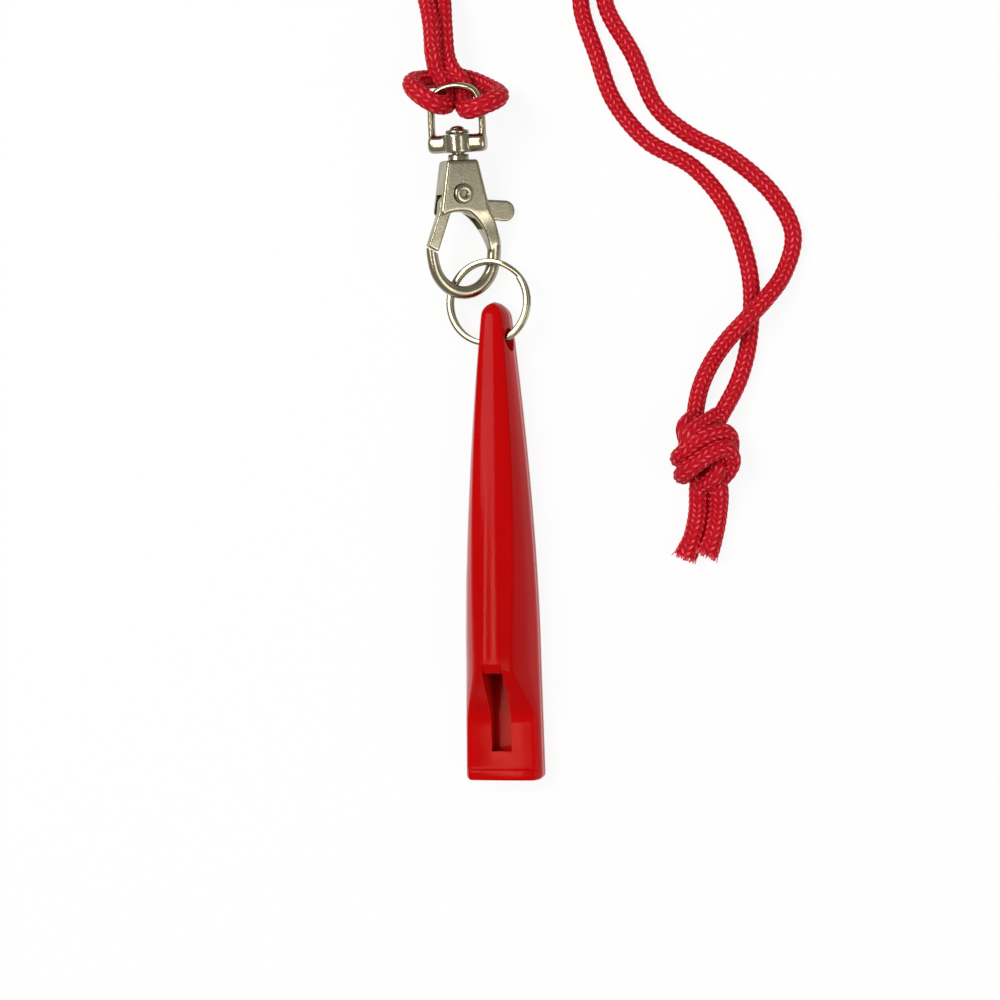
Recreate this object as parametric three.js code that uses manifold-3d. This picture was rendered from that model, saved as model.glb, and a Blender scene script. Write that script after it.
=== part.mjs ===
// Dog whistle on a neck cord: moulded whistle, split ring, swivel trigger clasp and knotted cord.
// Millimetres, +Z up. The part lies on the plane z = 0, with the whistle's sound window facing up.
// The origin is on the whistle's underside, at half its length. +Y runs towards the ring.
import * as THREE from "three";
import { mergeVertices } from "three/addons/utils/BufferGeometryUtils.js";
import Module from "manifold-3d";

const wasm = await Module();
wasm.setup();
const deg = THREE.MathUtils.degToRad;

// Shared clearances
const FIT_GAP = 0.3;
const RUNNING_GAP = 0.28;

// Whistle
const WHISTLE_LENGTH = 80;
const MOUTH_WIDTH = 13;
const BARREL_WIDTH = 12.4;
const TIP_WIDTH = 4.2;
const TIP_TAPER = 1.7;
const DECK_HEIGHT = 5.2;
const BARREL_HEIGHT = 12.2;
const TIP_HEIGHT = 6.6;
const BASE_THICKNESS = 2;
const SIDE_WALL = 3.4;
const EDGE_RADIUS = 0.6;
const LIP_LENGTH = 1.8;
const LIP_RISE = 0.5;
const DECK_LENGTH = 9.5;
const RAMP_LENGTH = 10.5;
const TIP_ROUND = 2.4;
const WINDOW_WIDTH = 3.4;
const WINDOW_FROM_MOUTH = 4.8;
const WINDOW_LENGTH = 13.8;
const BORE_RADIUS_WIDE = 3;
const BORE_RADIUS_NARROW = 1.7;
const BORE_LENGTH = 44;
const BORE_WALL = 1.5;
const WINDWAY_WIDTH = 4;
const WINDWAY_HEIGHT = 1.9;
const BLOCK_HEIGHT = 0.9;
const RING_HOLE_RADIUS = 1.95;
const RING_HOLE_FROM_TIP = 6.4;
const RING_HOLE_HEIGHT = 4.1;

// Split ring
const RING_RADIUS = 6.85;
const RING_WIRE_WIDTH = 0.95;
const RING_WIRE_THICKNESS = 0.62;
const RING_TURN_STEP = 1.08;
const RING_OFFSET_X = -0.9;
const RING_ROLL = 8;
const RING_TURNS = 1.92;
const RING_START = 64;
const RING_CRANK = 0.14;

// Trigger clasp, measured from the middle of its hook's eye
const CLASP_REACH = 9.2;
const CLASP_LEAN = 25;
const CLASP_ROLL = 34;
const CLASP_PITCH = 8;
const CLASP_LIFT = 1;
const HOOK_WIDTH = 13;
const HOOK_DROP = 6.6;
const HOOK_WIRE_WIDTH = 1.9;
const HOOK_WIRE_THICKNESS = 1.6;
const BODY_TOP = 15.4;
const BODY_TOP_WIDTH = 5.5;
const BODY_FOOT = 6.2;
const BODY_FOOT_WIDTH = 9.2;
const BODY_THICKNESS = 4.4;
const BODY_BEVEL = 0.35;
const BODY_TAPER_FROM = 5.6;
const CHEEK = 0.9;
const LEVER_THICKNESS = 1.7;
const LEVER_BEVEL = 0.25;
const LEVER_EYE_WALL = 1.1;
const RIVET_HEIGHT = 9.8;
const RIVET_SHAFT_RADIUS = 0.9;
const RIVET_BORE_RADIUS = 0.5;
const RIVET_HEAD_RADIUS = 1.7;
const RIVET_HEAD_THICKNESS = 0.5;
const TAB_REACH = 9.4;
const TAB_WIDTH = 3.9;
const GATE_WIDTH = 1.9;
const GATE_REACH = 10.3;
const SPRING_RADIUS = 1.9;
const SPRING_WIRE = 0.4;
const SPRING_POCKET = 0.9;

// Swivel
const POST_RADIUS = 1.1;
const POST_HEAD_RADIUS = 2.1;
const POST_HEAD_HEIGHT = 1.2;
const BAR_GAP = 1.2;
const BAR_HEIGHT = 3;
const BAR_WIDTH = 9.8;
const BAR_DEPTH = 5;
const BAR_END_DEPTH = 3;
const ARCH_HEIGHT = 8.6;
const ARCH_WIRE = 1.2;

// Neck cord
const CORD_DIAMETER = 2.8;
const CORD_SIDES = 8;
const CORD_STEP = 3.3;
const COIL_CENTRE = [3, 122];
const COIL_RADIUS = 23;
const COIL_TURNS = 2.5;
const TIE_THICKNESS = 0.5;
const TIE_WIDTH = 3;

// Materials
const redPlastic = new THREE.MeshStandardMaterial({ color: 0xc20f12, roughness: 0.25, metalness: 0 });
const nickel = new THREE.MeshStandardMaterial({ color: 0xc9c4b4, roughness: 0.2, metalness: 1 });
const springSteel = new THREE.MeshStandardMaterial({ color: 0x9c9a96, roughness: 0.35, metalness: 1 });
const redCord = new THREE.MeshStandardMaterial({ color: 0xc8102a, roughness: 0.7, metalness: 0 });
const tieBlack = new THREE.MeshStandardMaterial({ color: 0x1c1c1e, roughness: 0.6, metalness: 0 });

// A closed geometry as a manifold solid, and back again
function solid(geometry) {
  const bare = new THREE.BufferGeometry();
  const loose = geometry.index ? geometry.toNonIndexed() : geometry;
  bare.setAttribute("position", loose.getAttribute("position"));
  const merged = mergeVertices(bare, 1e-4);
  const vertProperties = new Float32Array(merged.attributes.position.array);
  const triVerts = new Uint32Array(merged.index.array);
  return new wasm.Manifold(new wasm.Mesh({ numProp: 3, vertProperties, triVerts }));
}

function geometryOf(body) {
  const mesh = body.getMesh();
  const geometry = new THREE.BufferGeometry();
  geometry.setAttribute("position", new THREE.BufferAttribute(new Float32Array(mesh.vertProperties), 3));
  geometry.setIndex(new THREE.BufferAttribute(new Uint32Array(mesh.triVerts), 1));
  geometry.computeVertexNormals();
  return geometry;
}

function named(name, geometry, material) {
  const mesh = new THREE.Mesh(geometry, material);
  mesh.name = name;
  return mesh;
}

// A closed skin over a row of rings with equal point counts
function loft(rings) {
  const count = rings[0].length;
  const positions = rings.flat().flatMap((p) => [p.x, p.y, p.z]);
  const index = [];
  for (let r = 0; r < rings.length - 1; r += 1) {
    for (let i = 0; i < count; i += 1) {
      const a = r * count + i;
      const b = r * count + ((i + 1) % count);
      index.push(a, b, b + count, a, b + count, a + count);
    }
  }
  const last = (rings.length - 1) * count;
  for (let i = 1; i < count - 1; i += 1) {
    index.push(0, i + 1, i);
    index.push(last, last + i, last + i + 1);
  }
  const geometry = new THREE.BufferGeometry();
  geometry.setAttribute("position", new THREE.Float32BufferAttribute(positions, 3));
  geometry.setIndex(index);
  return geometry;
}

function box(width, depth, height, x, y, z) {
  return new THREE.BoxGeometry(width, depth, height).translate(x, y, z);
}

// A cylinder along X, Y or Z
function rod(radiusA, radiusB, length, axis, sides = 24) {
  const cylinder = new THREE.CylinderGeometry(radiusB, radiusA, length, sides);
  if (axis === "x") cylinder.rotateZ(-Math.PI / 2);
  if (axis === "z") cylinder.rotateX(Math.PI / 2);
  return cylinder;
}

// An outline in XY, extruded evenly about z = 0
function plate(shape, thickness, bevel = 0, curveSegments = 8) {
  const depth = thickness - 2 * bevel;
  const settings = { depth, curveSegments, bevelEnabled: bevel > 0 };
  const edge = { bevelThickness: bevel, bevelSize: bevel, bevelOffset: -bevel, bevelSegments: 2 };
  return new THREE.ExtrudeGeometry(shape, { ...settings, ...edge }).translate(0, 0, -depth / 2);
}

function ellipseShape(radiusX, radiusY, sides) {
  const points = Array.from({ length: sides }, (_, i) => {
    const turn = (2 * Math.PI * (i + 0.5)) / sides;
    return new THREE.Vector2(radiusX * Math.cos(turn), radiusY * Math.sin(turn));
  });
  return new THREE.Shape(points);
}

// A tube of elliptic section along a curve
function tube(curve, radiusX, radiusY, sides, steps) {
  return new THREE.ExtrudeGeometry(ellipseShape(radiusX, radiusY, sides), { steps, extrudePath: curve });
}

const smooth = (t) => t * t * (3 - 2 * t);
const clamp01 = (t) => Math.min(1, Math.max(0, t));
const mix = (a, b, t) => a + (b - a) * t;

// Whistle: a lofted arch section, cut into a top moulding and a base plate
const mouthY = -WHISTLE_LENGTH / 2;
const tipY = WHISTLE_LENGTH / 2;
const rampStart = mouthY + DECK_LENGTH;
const barrelStart = rampStart + RAMP_LENGTH;

function halfWidth(y) {
  const towardsBarrel = mix(MOUTH_WIDTH, BARREL_WIDTH, clamp01((y - mouthY) / (barrelStart - mouthY)));
  const along = clamp01((y - barrelStart) / (tipY - barrelStart));
  return mix(towardsBarrel, TIP_WIDTH, along ** TIP_TAPER) / 2;
}

function topHeight(y) {
  if (y < mouthY + LIP_LENGTH) return DECK_HEIGHT + LIP_RISE;
  const ramp = clamp01((y - rampStart) / RAMP_LENGTH);
  const along = clamp01((y - barrelStart) / (tipY - barrelStart));
  return mix(DECK_HEIGHT, mix(BARREL_HEIGHT, TIP_HEIGHT, along), smooth(ramp));
}

// The right half of a section, from the keel up to the ridge, mirrored to the left
function whistleSection(y, shrink) {
  const half = halfWidth(y) * shrink;
  const low = (1 - shrink) * 0.5 * topHeight(y);
  const top = topHeight(y) * mix(1, shrink, 0.5);
  const wall = Math.min(SIDE_WALL, top - EDGE_RADIUS - 0.2);
  const ridge = clamp01((top - DECK_HEIGHT) / (BARREL_HEIGHT - DECK_HEIGHT));
  const shoulder = half - mix(EDGE_RADIUS, half * 0.5, ridge);
  const edge = Math.min(EDGE_RADIUS, half * 0.4);
  const right = [
    [half - edge, low],
    [half - edge * 0.3, low + edge * 0.3],
    [half, low + edge],
    [half, wall],
    [mix(half, shoulder, 0.35), mix(wall, top, 0.42)],
    [mix(half, shoulder, 0.75), mix(wall, top, 0.72)],
    [shoulder, mix(wall, top, 0.86)],
    [shoulder * 0.72, mix(wall, top, 0.955)],
    [shoulder * 0.38, mix(wall, top, 0.99)],
    [0, top],
  ];
  const left = right.slice(0, -1).reverse().map(([x, z]) => [-x, z]);
  return [...right, ...left].map(([x, z]) => new THREE.Vector3(x, y, z));
}

function whistleBlank() {
  const lipEnd = mouthY + LIP_LENGTH;
  const stations = [[mouthY, 0.94], [mouthY + 0.4, 1], [lipEnd - 0.01, 1], [lipEnd + 0.2, 1]];
  for (let i = 0; i <= 10; i += 1) stations.push([rampStart + (RAMP_LENGTH * i) / 10, 1]);
  const barrelEnd = tipY - TIP_ROUND;
  for (let i = 1; i <= 9; i += 1) stations.push([mix(barrelStart, barrelEnd, i / 9), 1]);
  for (let i = 1; i <= 5; i += 1) {
    const turn = (Math.PI / 2) * (i / 5.4);
    stations.push([barrelEnd + TIP_ROUND * Math.sin(turn), Math.cos(turn)]);
  }
  return solid(loft(stations.map(([y, shrink]) => whistleSection(y, shrink)).reverse()));
}

const windowStart = mouthY + WINDOW_FROM_MOUTH;
const windowEnd = windowStart + WINDOW_LENGTH;
const holeY = tipY - RING_HOLE_FROM_TIP;

function toneBore() {
  const wideZ = topHeight(barrelStart) - BORE_WALL - BORE_RADIUS_WIDE;
  const narrowY = windowEnd + BORE_LENGTH;
  const narrowZ = topHeight(narrowY) - BORE_WALL - BORE_RADIUS_NARROW;
  const from = new THREE.Vector3(0, windowEnd - 0.5, wideZ);
  const to = new THREE.Vector3(0, narrowY, narrowZ);
  const axis = to.clone().sub(from);
  const bore = rod(BORE_RADIUS_WIDE, BORE_RADIUS_NARROW, axis.length(), "y", 20);
  bore.rotateX(Math.atan2(axis.z, axis.y));
  return solid(bore.translate(0, (from.y + to.y) / 2, (from.z + to.z) / 2));
}

function ringHole() {
  const hole = rod(RING_HOLE_RADIUS, RING_HOLE_RADIUS, MOUTH_WIDTH, "x");
  return solid(hole.translate(0, holeY, RING_HOLE_HEIGHT));
}

function whistle() {
  const blank = whistleBlank();
  const windowY = (windowStart + windowEnd) / 2;
  const windowCut = solid(
    box(WINDOW_WIDTH, WINDOW_LENGTH, BARREL_HEIGHT * 2, 0, windowY, BASE_THICKNESS + BARREL_HEIGHT),
  );
  const windwayLength = WINDOW_FROM_MOUTH + 0.6;
  const windwayZ = BASE_THICKNESS + WINDWAY_HEIGHT / 2;
  const windway = solid(
    box(WINDWAY_WIDTH, windwayLength + 1, WINDWAY_HEIGHT, 0, mouthY + windwayLength / 2 - 0.5, windwayZ),
  );
  const upper = solid(
    box(MOUTH_WIDTH * 2, WHISTLE_LENGTH * 2, BARREL_HEIGHT * 2, 0, 0, BASE_THICKNESS + BARREL_HEIGHT),
  );
  const shell = blank.intersect(upper).subtract(toneBore()).subtract(windowCut);
  const blockLength = WINDOW_FROM_MOUTH - 2 * FIT_GAP;
  const block = box(
    WINDWAY_WIDTH - 2 * FIT_GAP, blockLength, BLOCK_HEIGHT,
    0, mouthY + FIT_GAP + blockLength / 2, BASE_THICKNESS + BLOCK_HEIGHT / 2,
  );
  const group = new THREE.Group();
  group.add(named("whistle_shell", geometryOf(shell.subtract(windway).subtract(ringHole())), redPlastic));
  group.add(named("whistle_base", geometryOf(blank.subtract(upper)), redPlastic));
  group.add(named("windway_block", block, redPlastic));
  return group;
}

// Split ring: two turns of flat wire with a short cranked step between them
const ringCentre = new THREE.Vector3(RING_OFFSET_X, holeY - 0.5 + RING_RADIUS, RING_HOLE_HEIGHT);

function splitRing() {
  const steps = 72;
  const rings = [];
  for (let i = 0; i <= steps; i += 1) {
    const turn = (RING_TURNS * i) / steps;
    const angle = deg(RING_START) + 2 * Math.PI * turn;
    const rise = RING_TURN_STEP * (smooth(clamp01((turn - RING_TURNS / 2) / RING_CRANK + 0.5)) - 0.5);
    const out = new THREE.Vector3(Math.cos(angle), Math.sin(angle), 0);
    const w = RING_WIRE_WIDTH / 2;
    const t = RING_WIRE_THICKNESS / 2;
    const corners = [[-w, -t], [w, -t], [w, t], [-w, t]];
    rings.push(corners.map(([r, z]) => out.clone().multiplyScalar(RING_RADIUS + r).setZ(rise + z)));
  }
  const group = new THREE.Group();
  group.position.copy(ringCentre);
  group.rotation.y = deg(-RING_ROLL);
  group.add(named("split_ring", loft(rings.reverse()), nickel));
  return group;
}

// Trigger clasp: its frame has the hook's eye at the origin, +Y along the swivel axis, +Z out of its face
const leanX = -Math.sin(deg(CLASP_LEAN)) * CLASP_REACH;
const leanY = Math.cos(deg(CLASP_LEAN)) * CLASP_REACH;
const claspOrigin = new THREE.Vector3(leanX, leanY, CLASP_LIFT).add(ringCentre);
const cheekInner = BODY_THICKNESS / 2 - CHEEK;
const pivot = new THREE.Vector2(-0.3, RIVET_HEIGHT);
const hookTip = new THREE.Vector2(-HOOK_WIDTH / 2 + HOOK_WIRE_WIDTH / 2, 1.4);
const rivetHoleRadius = RIVET_SHAFT_RADIUS + FIT_GAP;
const leverEye = rivetHoleRadius + LEVER_EYE_WALL;
const eyeSpace = leverEye + 2 * FIT_GAP;

function hookCurve() {
  const side = (HOOK_WIDTH - HOOK_WIRE_WIDTH) / 2;
  const drop = HOOK_DROP;
  const points = [
    [BODY_FOOT_WIDTH / 2 - 0.9, BODY_FOOT - 1.2],
    [side - 0.15, 2.4],
    [side, 0],
    [side * 0.86, -drop * 0.52],
    [side * 0.5, -drop * 0.87],
    [0, -drop],
    [-side * 0.5, -drop * 0.87],
    [-side * 0.87, -drop * 0.5],
    [-side, 0.1],
    [hookTip.x, hookTip.y],
  ];
  return new THREE.CatmullRomCurve3(points.map(([x, y]) => new THREE.Vector3(x, y, 0)));
}

function bodyOutline() {
  const top = BODY_TOP_WIDTH / 2;
  const foot = BODY_FOOT_WIDTH / 2;
  const outer = HOOK_WIDTH / 2;
  const shape = new THREE.Shape();
  shape.moveTo(top - 0.5, BODY_TOP);
  shape.quadraticCurveTo(top, BODY_TOP, top + 0.12, BODY_TOP - 0.7);
  shape.lineTo(foot, BODY_FOOT + 0.4);
  shape.quadraticCurveTo(outer - 0.4, BODY_FOOT - 2.4, outer - 0.02, 0);
  shape.lineTo(outer - HOOK_WIRE_WIDTH + 0.02, 0);
  shape.quadraticCurveTo(outer - HOOK_WIRE_WIDTH - 0.8, BODY_FOOT - 1.6, 0.6, BODY_FOOT + 0.5);
  shape.quadraticCurveTo(-1.8, BODY_FOOT + 1, -foot + 0.5, BODY_FOOT);
  shape.lineTo(-foot + 0.3, BODY_FOOT + 0.7);
  shape.lineTo(-top - 0.12, BODY_TOP - 0.7);
  shape.quadraticCurveTo(-top, BODY_TOP, -top + 0.5, BODY_TOP);
  shape.closePath();
  return shape;
}

// The body's side view: full thickness down to the foot, then a taper to the hook's wire
function bodyTaper() {
  const thick = BODY_THICKNESS / 2;
  const thin = HOOK_WIRE_THICKNESS / 2;
  const right = [[BODY_TOP + 1, thick], [BODY_TAPER_FROM, thick], [0.4, thin], [-1, thin]];
  const left = right.slice().reverse().map(([y, z]) => [y, -z]);
  const shape = new THREE.Shape([...right, ...left].map(([y, z]) => new THREE.Vector2(y, z)));
  return solid(plate(shape, HOOK_WIDTH * 2).rotateX(Math.PI / 2).rotateZ(Math.PI / 2));
}

// The round space that the gate's end sweeps, with a gap, on the hook's open side
function gateSweep() {
  const reach = GATE_REACH + FIT_GAP;
  const round = solid(rod(reach, reach, BODY_THICKNESS * 2, "z", 48).translate(pivot.x, pivot.y, 0));
  return round.intersect(solid(box(HOOK_WIDTH, BODY_TOP * 2, BODY_THICKNESS * 2, -HOOK_WIDTH / 2, 0, 0)));
}

function claspBody() {
  const cheeks = solid(plate(bodyOutline(), BODY_THICKNESS, BODY_BEVEL, 6)).intersect(bodyTaper());
  const wire = solid(tube(hookCurve(), HOOK_WIRE_WIDTH / 2, HOOK_WIRE_THICKNESS / 2, 10, 40));
  const hook = wire.subtract(gateSweep());
  return named("clasp_body", geometryOf(cheeks.add(hook).subtract(leverSlot()).subtract(rivetHole())), nickel);
}

// Slot for the lever: open below the rivet, round about the lever's eye, and open to the tab's side
function leverSlot() {
  const low = BODY_FOOT - 2.4;
  const deep = 2 * cheekInner;
  const wide = BODY_FOOT_WIDTH;
  const below = solid(box(2 * wide, RIVET_HEIGHT - low, deep, 0, (RIVET_HEIGHT + low) / 2, 0));
  const eye = solid(rod(eyeSpace, eyeSpace, deep, "z", 32).translate(pivot.x, pivot.y, 0));
  const tab = solid(box(wide, eyeSpace, deep, pivot.x + wide / 2, RIVET_HEIGHT + eyeSpace / 2, 0));
  return below.add(eye).add(tab);
}

// Hole for the rivet, through the cheeks and the lever alike
function rivetHole() {
  const hole = rod(rivetHoleRadius, rivetHoleRadius, BODY_THICKNESS * 2, "z");
  return solid(hole.translate(pivot.x, pivot.y, 0));
}

// Lever: an eye on the rivet, a thumb tab to the right and the gate arm down to the hook's tip
function leverOutline() {
  const eye = leverEye;
  const tabTop = RIVET_HEIGHT - 0.9;
  const tabLow = tabTop - TAB_WIDTH;
  const tabRound = TAB_WIDTH * 0.45;
  const gateX = hookTip.x + 0.05;
  const gateEnd = (x) => pivot.y - Math.sqrt(GATE_REACH ** 2 - (x - pivot.x) ** 2);
  const shape = new THREE.Shape();
  shape.moveTo(pivot.x, pivot.y + eye);
  shape.quadraticCurveTo(pivot.x + eye, pivot.y + eye, pivot.x + eye + 0.2, tabTop);
  const thumbX = TAB_REACH - tabRound;
  const thumbTop = tabTop - 0.5;
  shape.lineTo(thumbX, thumbTop);
  shape.absarc(thumbX, thumbTop - tabRound, tabRound, Math.PI / 2, -Math.PI / 2, true);
  shape.lineTo(2.4, tabLow + 0.6);
  shape.quadraticCurveTo(-0.6, BODY_FOOT + 1.3, -2.2, BODY_FOOT + 0.4);
  for (let i = 0; i <= 4; i += 1) {
    const x = gateX + GATE_WIDTH * (0.5 - i / 4);
    shape.lineTo(x, gateEnd(x));
  }
  shape.lineTo(-BODY_FOOT_WIDTH / 2 + 0.4, BODY_FOOT + 0.6);
  shape.quadraticCurveTo(pivot.x - eye - 0.3, pivot.y, pivot.x - eye * 0.7, pivot.y + eye * 0.7);
  shape.quadraticCurveTo(pivot.x - eye * 0.4, pivot.y + eye, pivot.x, pivot.y + eye);
  shape.closePath();
  return shape;
}

function claspGate() {
  const lever = solid(plate(leverOutline(), LEVER_THICKNESS, LEVER_BEVEL, 6));
  const pocketRadius = SPRING_RADIUS + SPRING_POCKET;
  const pocket = solid(rod(pocketRadius, pocketRadius, LEVER_THICKNESS, "z"));
  const springPocket = pocket.translate([pivot.x, pivot.y, LEVER_THICKNESS / 2]);
  return named("clasp_gate", geometryOf(lever.subtract(rivetHole()).subtract(springPocket)), nickel);
}

// Tubular rivet, its profile turned about its own axis
function gateRivet() {
  const seat = BODY_THICKNESS / 2 + FIT_GAP;
  const head = seat + RIVET_HEAD_THICKNESS;
  const half = [
    [RIVET_BORE_RADIUS, head - 0.15],
    [RIVET_BORE_RADIUS + 0.3, head],
    [RIVET_HEAD_RADIUS - 0.3, head],
    [RIVET_HEAD_RADIUS, seat + 0.15],
    [RIVET_HEAD_RADIUS, seat],
    [RIVET_SHAFT_RADIUS, seat],
  ];
  const mirrored = half.slice().reverse().map(([r, z]) => [r, -z]);
  const ring = [...half, ...mirrored].reverse();
  ring.push(ring[0]);
  const profile = ring.map(([r, z]) => new THREE.Vector2(r, z));
  const turned = new THREE.LatheGeometry(profile, 24).rotateX(Math.PI / 2);
  return named("gate_rivet", turned.translate(pivot.x, pivot.y, 0), nickel);
}

// Hairpin spring in the lever's pocket, wound three quarters round the rivet
function gateSpring() {
  const z = LEVER_THICKNESS / 4;
  const points = [];
  for (let i = 0; i <= 10; i += 1) {
    const turn = deg(150) - deg(300) * (i / 10);
    points.push(new THREE.Vector3(Math.cos(turn), Math.sin(turn), 0).multiplyScalar(SPRING_RADIUS));
  }
  const curve = new THREE.CatmullRomCurve3(points);
  const wire = tube(curve, SPRING_WIRE / 2, SPRING_WIRE / 2, 6, 30);
  return named("gate_spring", wire.translate(pivot.x, pivot.y, z), springSteel);
}

// Swivel post, riveted to the clasp's head and free to turn in the bar
const barLow = BODY_TOP + BAR_GAP;
const barHigh = barLow + BAR_HEIGHT;

function swivelPost() {
  const headLow = barHigh + RUNNING_GAP;
  const headTop = headLow + POST_HEAD_HEIGHT;
  const collar = barLow - RUNNING_GAP;
  const profile = [
    [0, BODY_TOP],
    [POST_HEAD_RADIUS - 0.3, BODY_TOP],
    [POST_HEAD_RADIUS - 0.3, collar],
    [POST_RADIUS, collar],
    [POST_RADIUS, headLow],
    [POST_HEAD_RADIUS, headLow],
    [POST_HEAD_RADIUS, headLow + 0.35],
    [POST_HEAD_RADIUS * 0.75, headTop - 0.25],
    [POST_HEAD_RADIUS * 0.4, headTop - 0.04],
    [0, headTop],
  ];
  const outline = profile.map(([r, y]) => new THREE.Vector2(r, y));
  return named("swivel_post", new THREE.LatheGeometry(outline, 24), nickel);
}

function archCurve() {
  const side = (BAR_WIDTH - ARCH_WIRE) / 2;
  const points = [
    [-side, barLow + 0.8],
    [-side, barHigh + ARCH_HEIGHT * 0.3],
    [-side * 0.96, barHigh + ARCH_HEIGHT * 0.55],
    [-side * 0.72, barHigh + ARCH_HEIGHT * 0.82],
    [0, barHigh + ARCH_HEIGHT - ARCH_WIRE / 2],
  ];
  const mirrored = points.slice(0, -1).reverse().map(([x, y]) => [-x, y]);
  return new THREE.CatmullRomCurve3([...points, ...mirrored].map(([x, y]) => new THREE.Vector3(x, y, 0)));
}

function swivelLoop() {
  const round = 0.9;
  const outline = new THREE.Shape();
  const w = BAR_WIDTH / 2;
  const d = BAR_END_DEPTH / 2;
  outline.moveTo(w - round, -d);
  outline.quadraticCurveTo(w, -d, w, -d + round);
  outline.lineTo(w, d - round);
  outline.quadraticCurveTo(w, d, w - round, d);
  outline.lineTo(-w + round, d);
  outline.quadraticCurveTo(-w, d, -w, d - round);
  outline.lineTo(-w, -d + round);
  outline.quadraticCurveTo(-w, -d, -w + round, -d);
  outline.closePath();
  const barY = (barLow + barHigh) / 2;
  const bar = solid(plate(outline, BAR_HEIGHT, 0.25, 4).rotateX(-Math.PI / 2).translate(0, barY, 0));
  const lug = solid(rod(BAR_DEPTH / 2, BAR_DEPTH / 2, BAR_HEIGHT, "y", 32).translate(0, barY, 0));
  const arch = solid(tube(archCurve(), ARCH_WIRE / 2, ARCH_WIRE * 0.75, 8, 32));
  const bore = POST_RADIUS + RUNNING_GAP;
  const hole = solid(rod(bore, bore, BAR_HEIGHT * 2, "y").translate(0, barY, 0));
  return named("swivel_loop", geometryOf(bar.add(lug).add(arch).subtract(hole)), nickel);
}

// The clasp turns on the swivel axis; the loop stays level across
function claspFrame(roll) {
  const tilt = new THREE.Group();
  tilt.position.copy(claspOrigin);
  tilt.rotation.x = deg(CLASP_PITCH);
  const turned = new THREE.Group();
  turned.rotation.y = deg(roll);
  tilt.add(turned);
  return { tilt, turned };
}

function clasp() {
  const { tilt, turned } = claspFrame(CLASP_ROLL);
  turned.add(claspBody(), claspGate(), gateRivet(), gateSpring(), swivelPost());
  return tilt;
}

// Neck cord: both strands run from the hitch through a put-away coil to the knot
const cordRadius = CORD_DIAMETER / 2;
const floorLine = cordRadius + 0.1;
const coilLow = cordRadius + TIE_THICKNESS + 2 * FIT_GAP;
const coilHigh = coilLow + CORD_STEP;
const vectors = (rows) => rows.map(([x, y, z]) => new THREE.Vector3(x, y, z));

function cordPiece(name, points, steps, sides = CORD_SIDES) {
  const curve = new THREE.CatmullRomCurve3(points, false, "centripetal");
  return named(name, tube(curve, cordRadius, cordRadius, sides, steps), redCord);
}

// The least free space between two turns of one cord, measured on points of its centreline
function leastGap(points) {
  let least = Infinity;
  const lengths = [0];
  for (let i = 1; i < points.length; i += 1) {
    lengths.push(lengths[i - 1] + points[i].distanceTo(points[i - 1]));
  }
  for (let i = 0; i < points.length; i += 1) {
    for (let j = i + 1; j < points.length; j += 1) {
      const apart = lengths[j] - lengths[i] > 3 * CORD_DIAMETER;
      if (apart) least = Math.min(least, points[i].distanceTo(points[j]) - CORD_DIAMETER);
    }
  }
  return least;
}

// Girth hitch on the swivel's arch, from one leg round the back of both legs to the other
const archTop = barHigh + ARCH_HEIGHT - ARCH_WIRE / 2;
const legSide = cordRadius + 0.15;
const legDepth = -(cordRadius + ARCH_WIRE * 0.75 + 0.45);
const legReach = 6.5;

function hitch() {
  const collar = legDepth - CORD_DIAMETER - 0.6;
  const right = [
    [legSide, legReach, legDepth],
    [legSide, 3, legDepth],
    [legSide, 0.6, legDepth],
    [legSide + 0.03, -2.1, legDepth * 0.8],
    [legSide + 0.1, -3.4, 0.2],
    [3, -3.5, 2.6],
    [5, -2.6, 2.95],
    [6.8, -1.2, 1.5],
    [7.4, 0, -0.9],
    [6.4, 1, -3.5],
    [4.3, 1.6, collar + 1],
    [2, 1.9, collar + 0.2],
  ];
  const left = right.slice().reverse().map(([x, y, z]) => [-x, y, z]);
  const route = vectors([...right, [0, 2, collar], ...left]);
  route.forEach((point) => point.setY(point.y + archTop));
  const curve = new THREE.CatmullRomCurve3(route, false, "centripetal");
  console.log("cord_hitch least gap", leastGap(curve.getSpacedPoints(160)).toFixed(2), "mm");
  return cordPiece("cord_hitch", route, 64);
}

// A point straight ahead of a leg of the hitch, on the left (-1) or the right (1)
function legAhead(side, ahead) {
  const { tilt } = claspFrame(0);
  tilt.updateMatrixWorld();
  const point = new THREE.Vector3(side * legSide, archTop + legReach + ahead, legDepth);
  return point.applyMatrix4(tilt.matrixWorld).toArray();
}

// One strand of the coil: in on the lower layer, up a layer where the spiral reverses, out on the upper
function coilRoute(inset) {
  const count = Math.round(24 * COIL_TURNS);
  return Array.from({ length: count + 1 }, (_, i) => {
    const turn = (COIL_TURNS * i) / count;
    const inward = Math.min(turn, COIL_TURNS - turn);
    const radius = COIL_RADIUS - inset - 2 * CORD_STEP * inward;
    const climb = smooth(clamp01((turn - COIL_TURNS / 2) / 0.5 + 0.5));
    const angle = Math.PI - 2 * Math.PI * turn;
    const x = COIL_CENTRE[0] + radius * Math.cos(angle);
    const y = COIL_CENTRE[1] + radius * Math.sin(angle);
    return new THREE.Vector3(x, y, mix(coilLow, coilHigh, climb));
  });
}

function coilStrand(name, inset) {
  const route = coilRoute(inset);
  console.log(name, "least gap", leastGap(route).toFixed(2), "mm");
  return cordPiece(name, route, route.length - 1, 6);
}

const coilLeft = COIL_CENTRE[0] - COIL_RADIUS;
const coilRight = COIL_CENTRE[0] + COIL_RADIUS;
const coilY = COIL_CENTRE[1];

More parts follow.
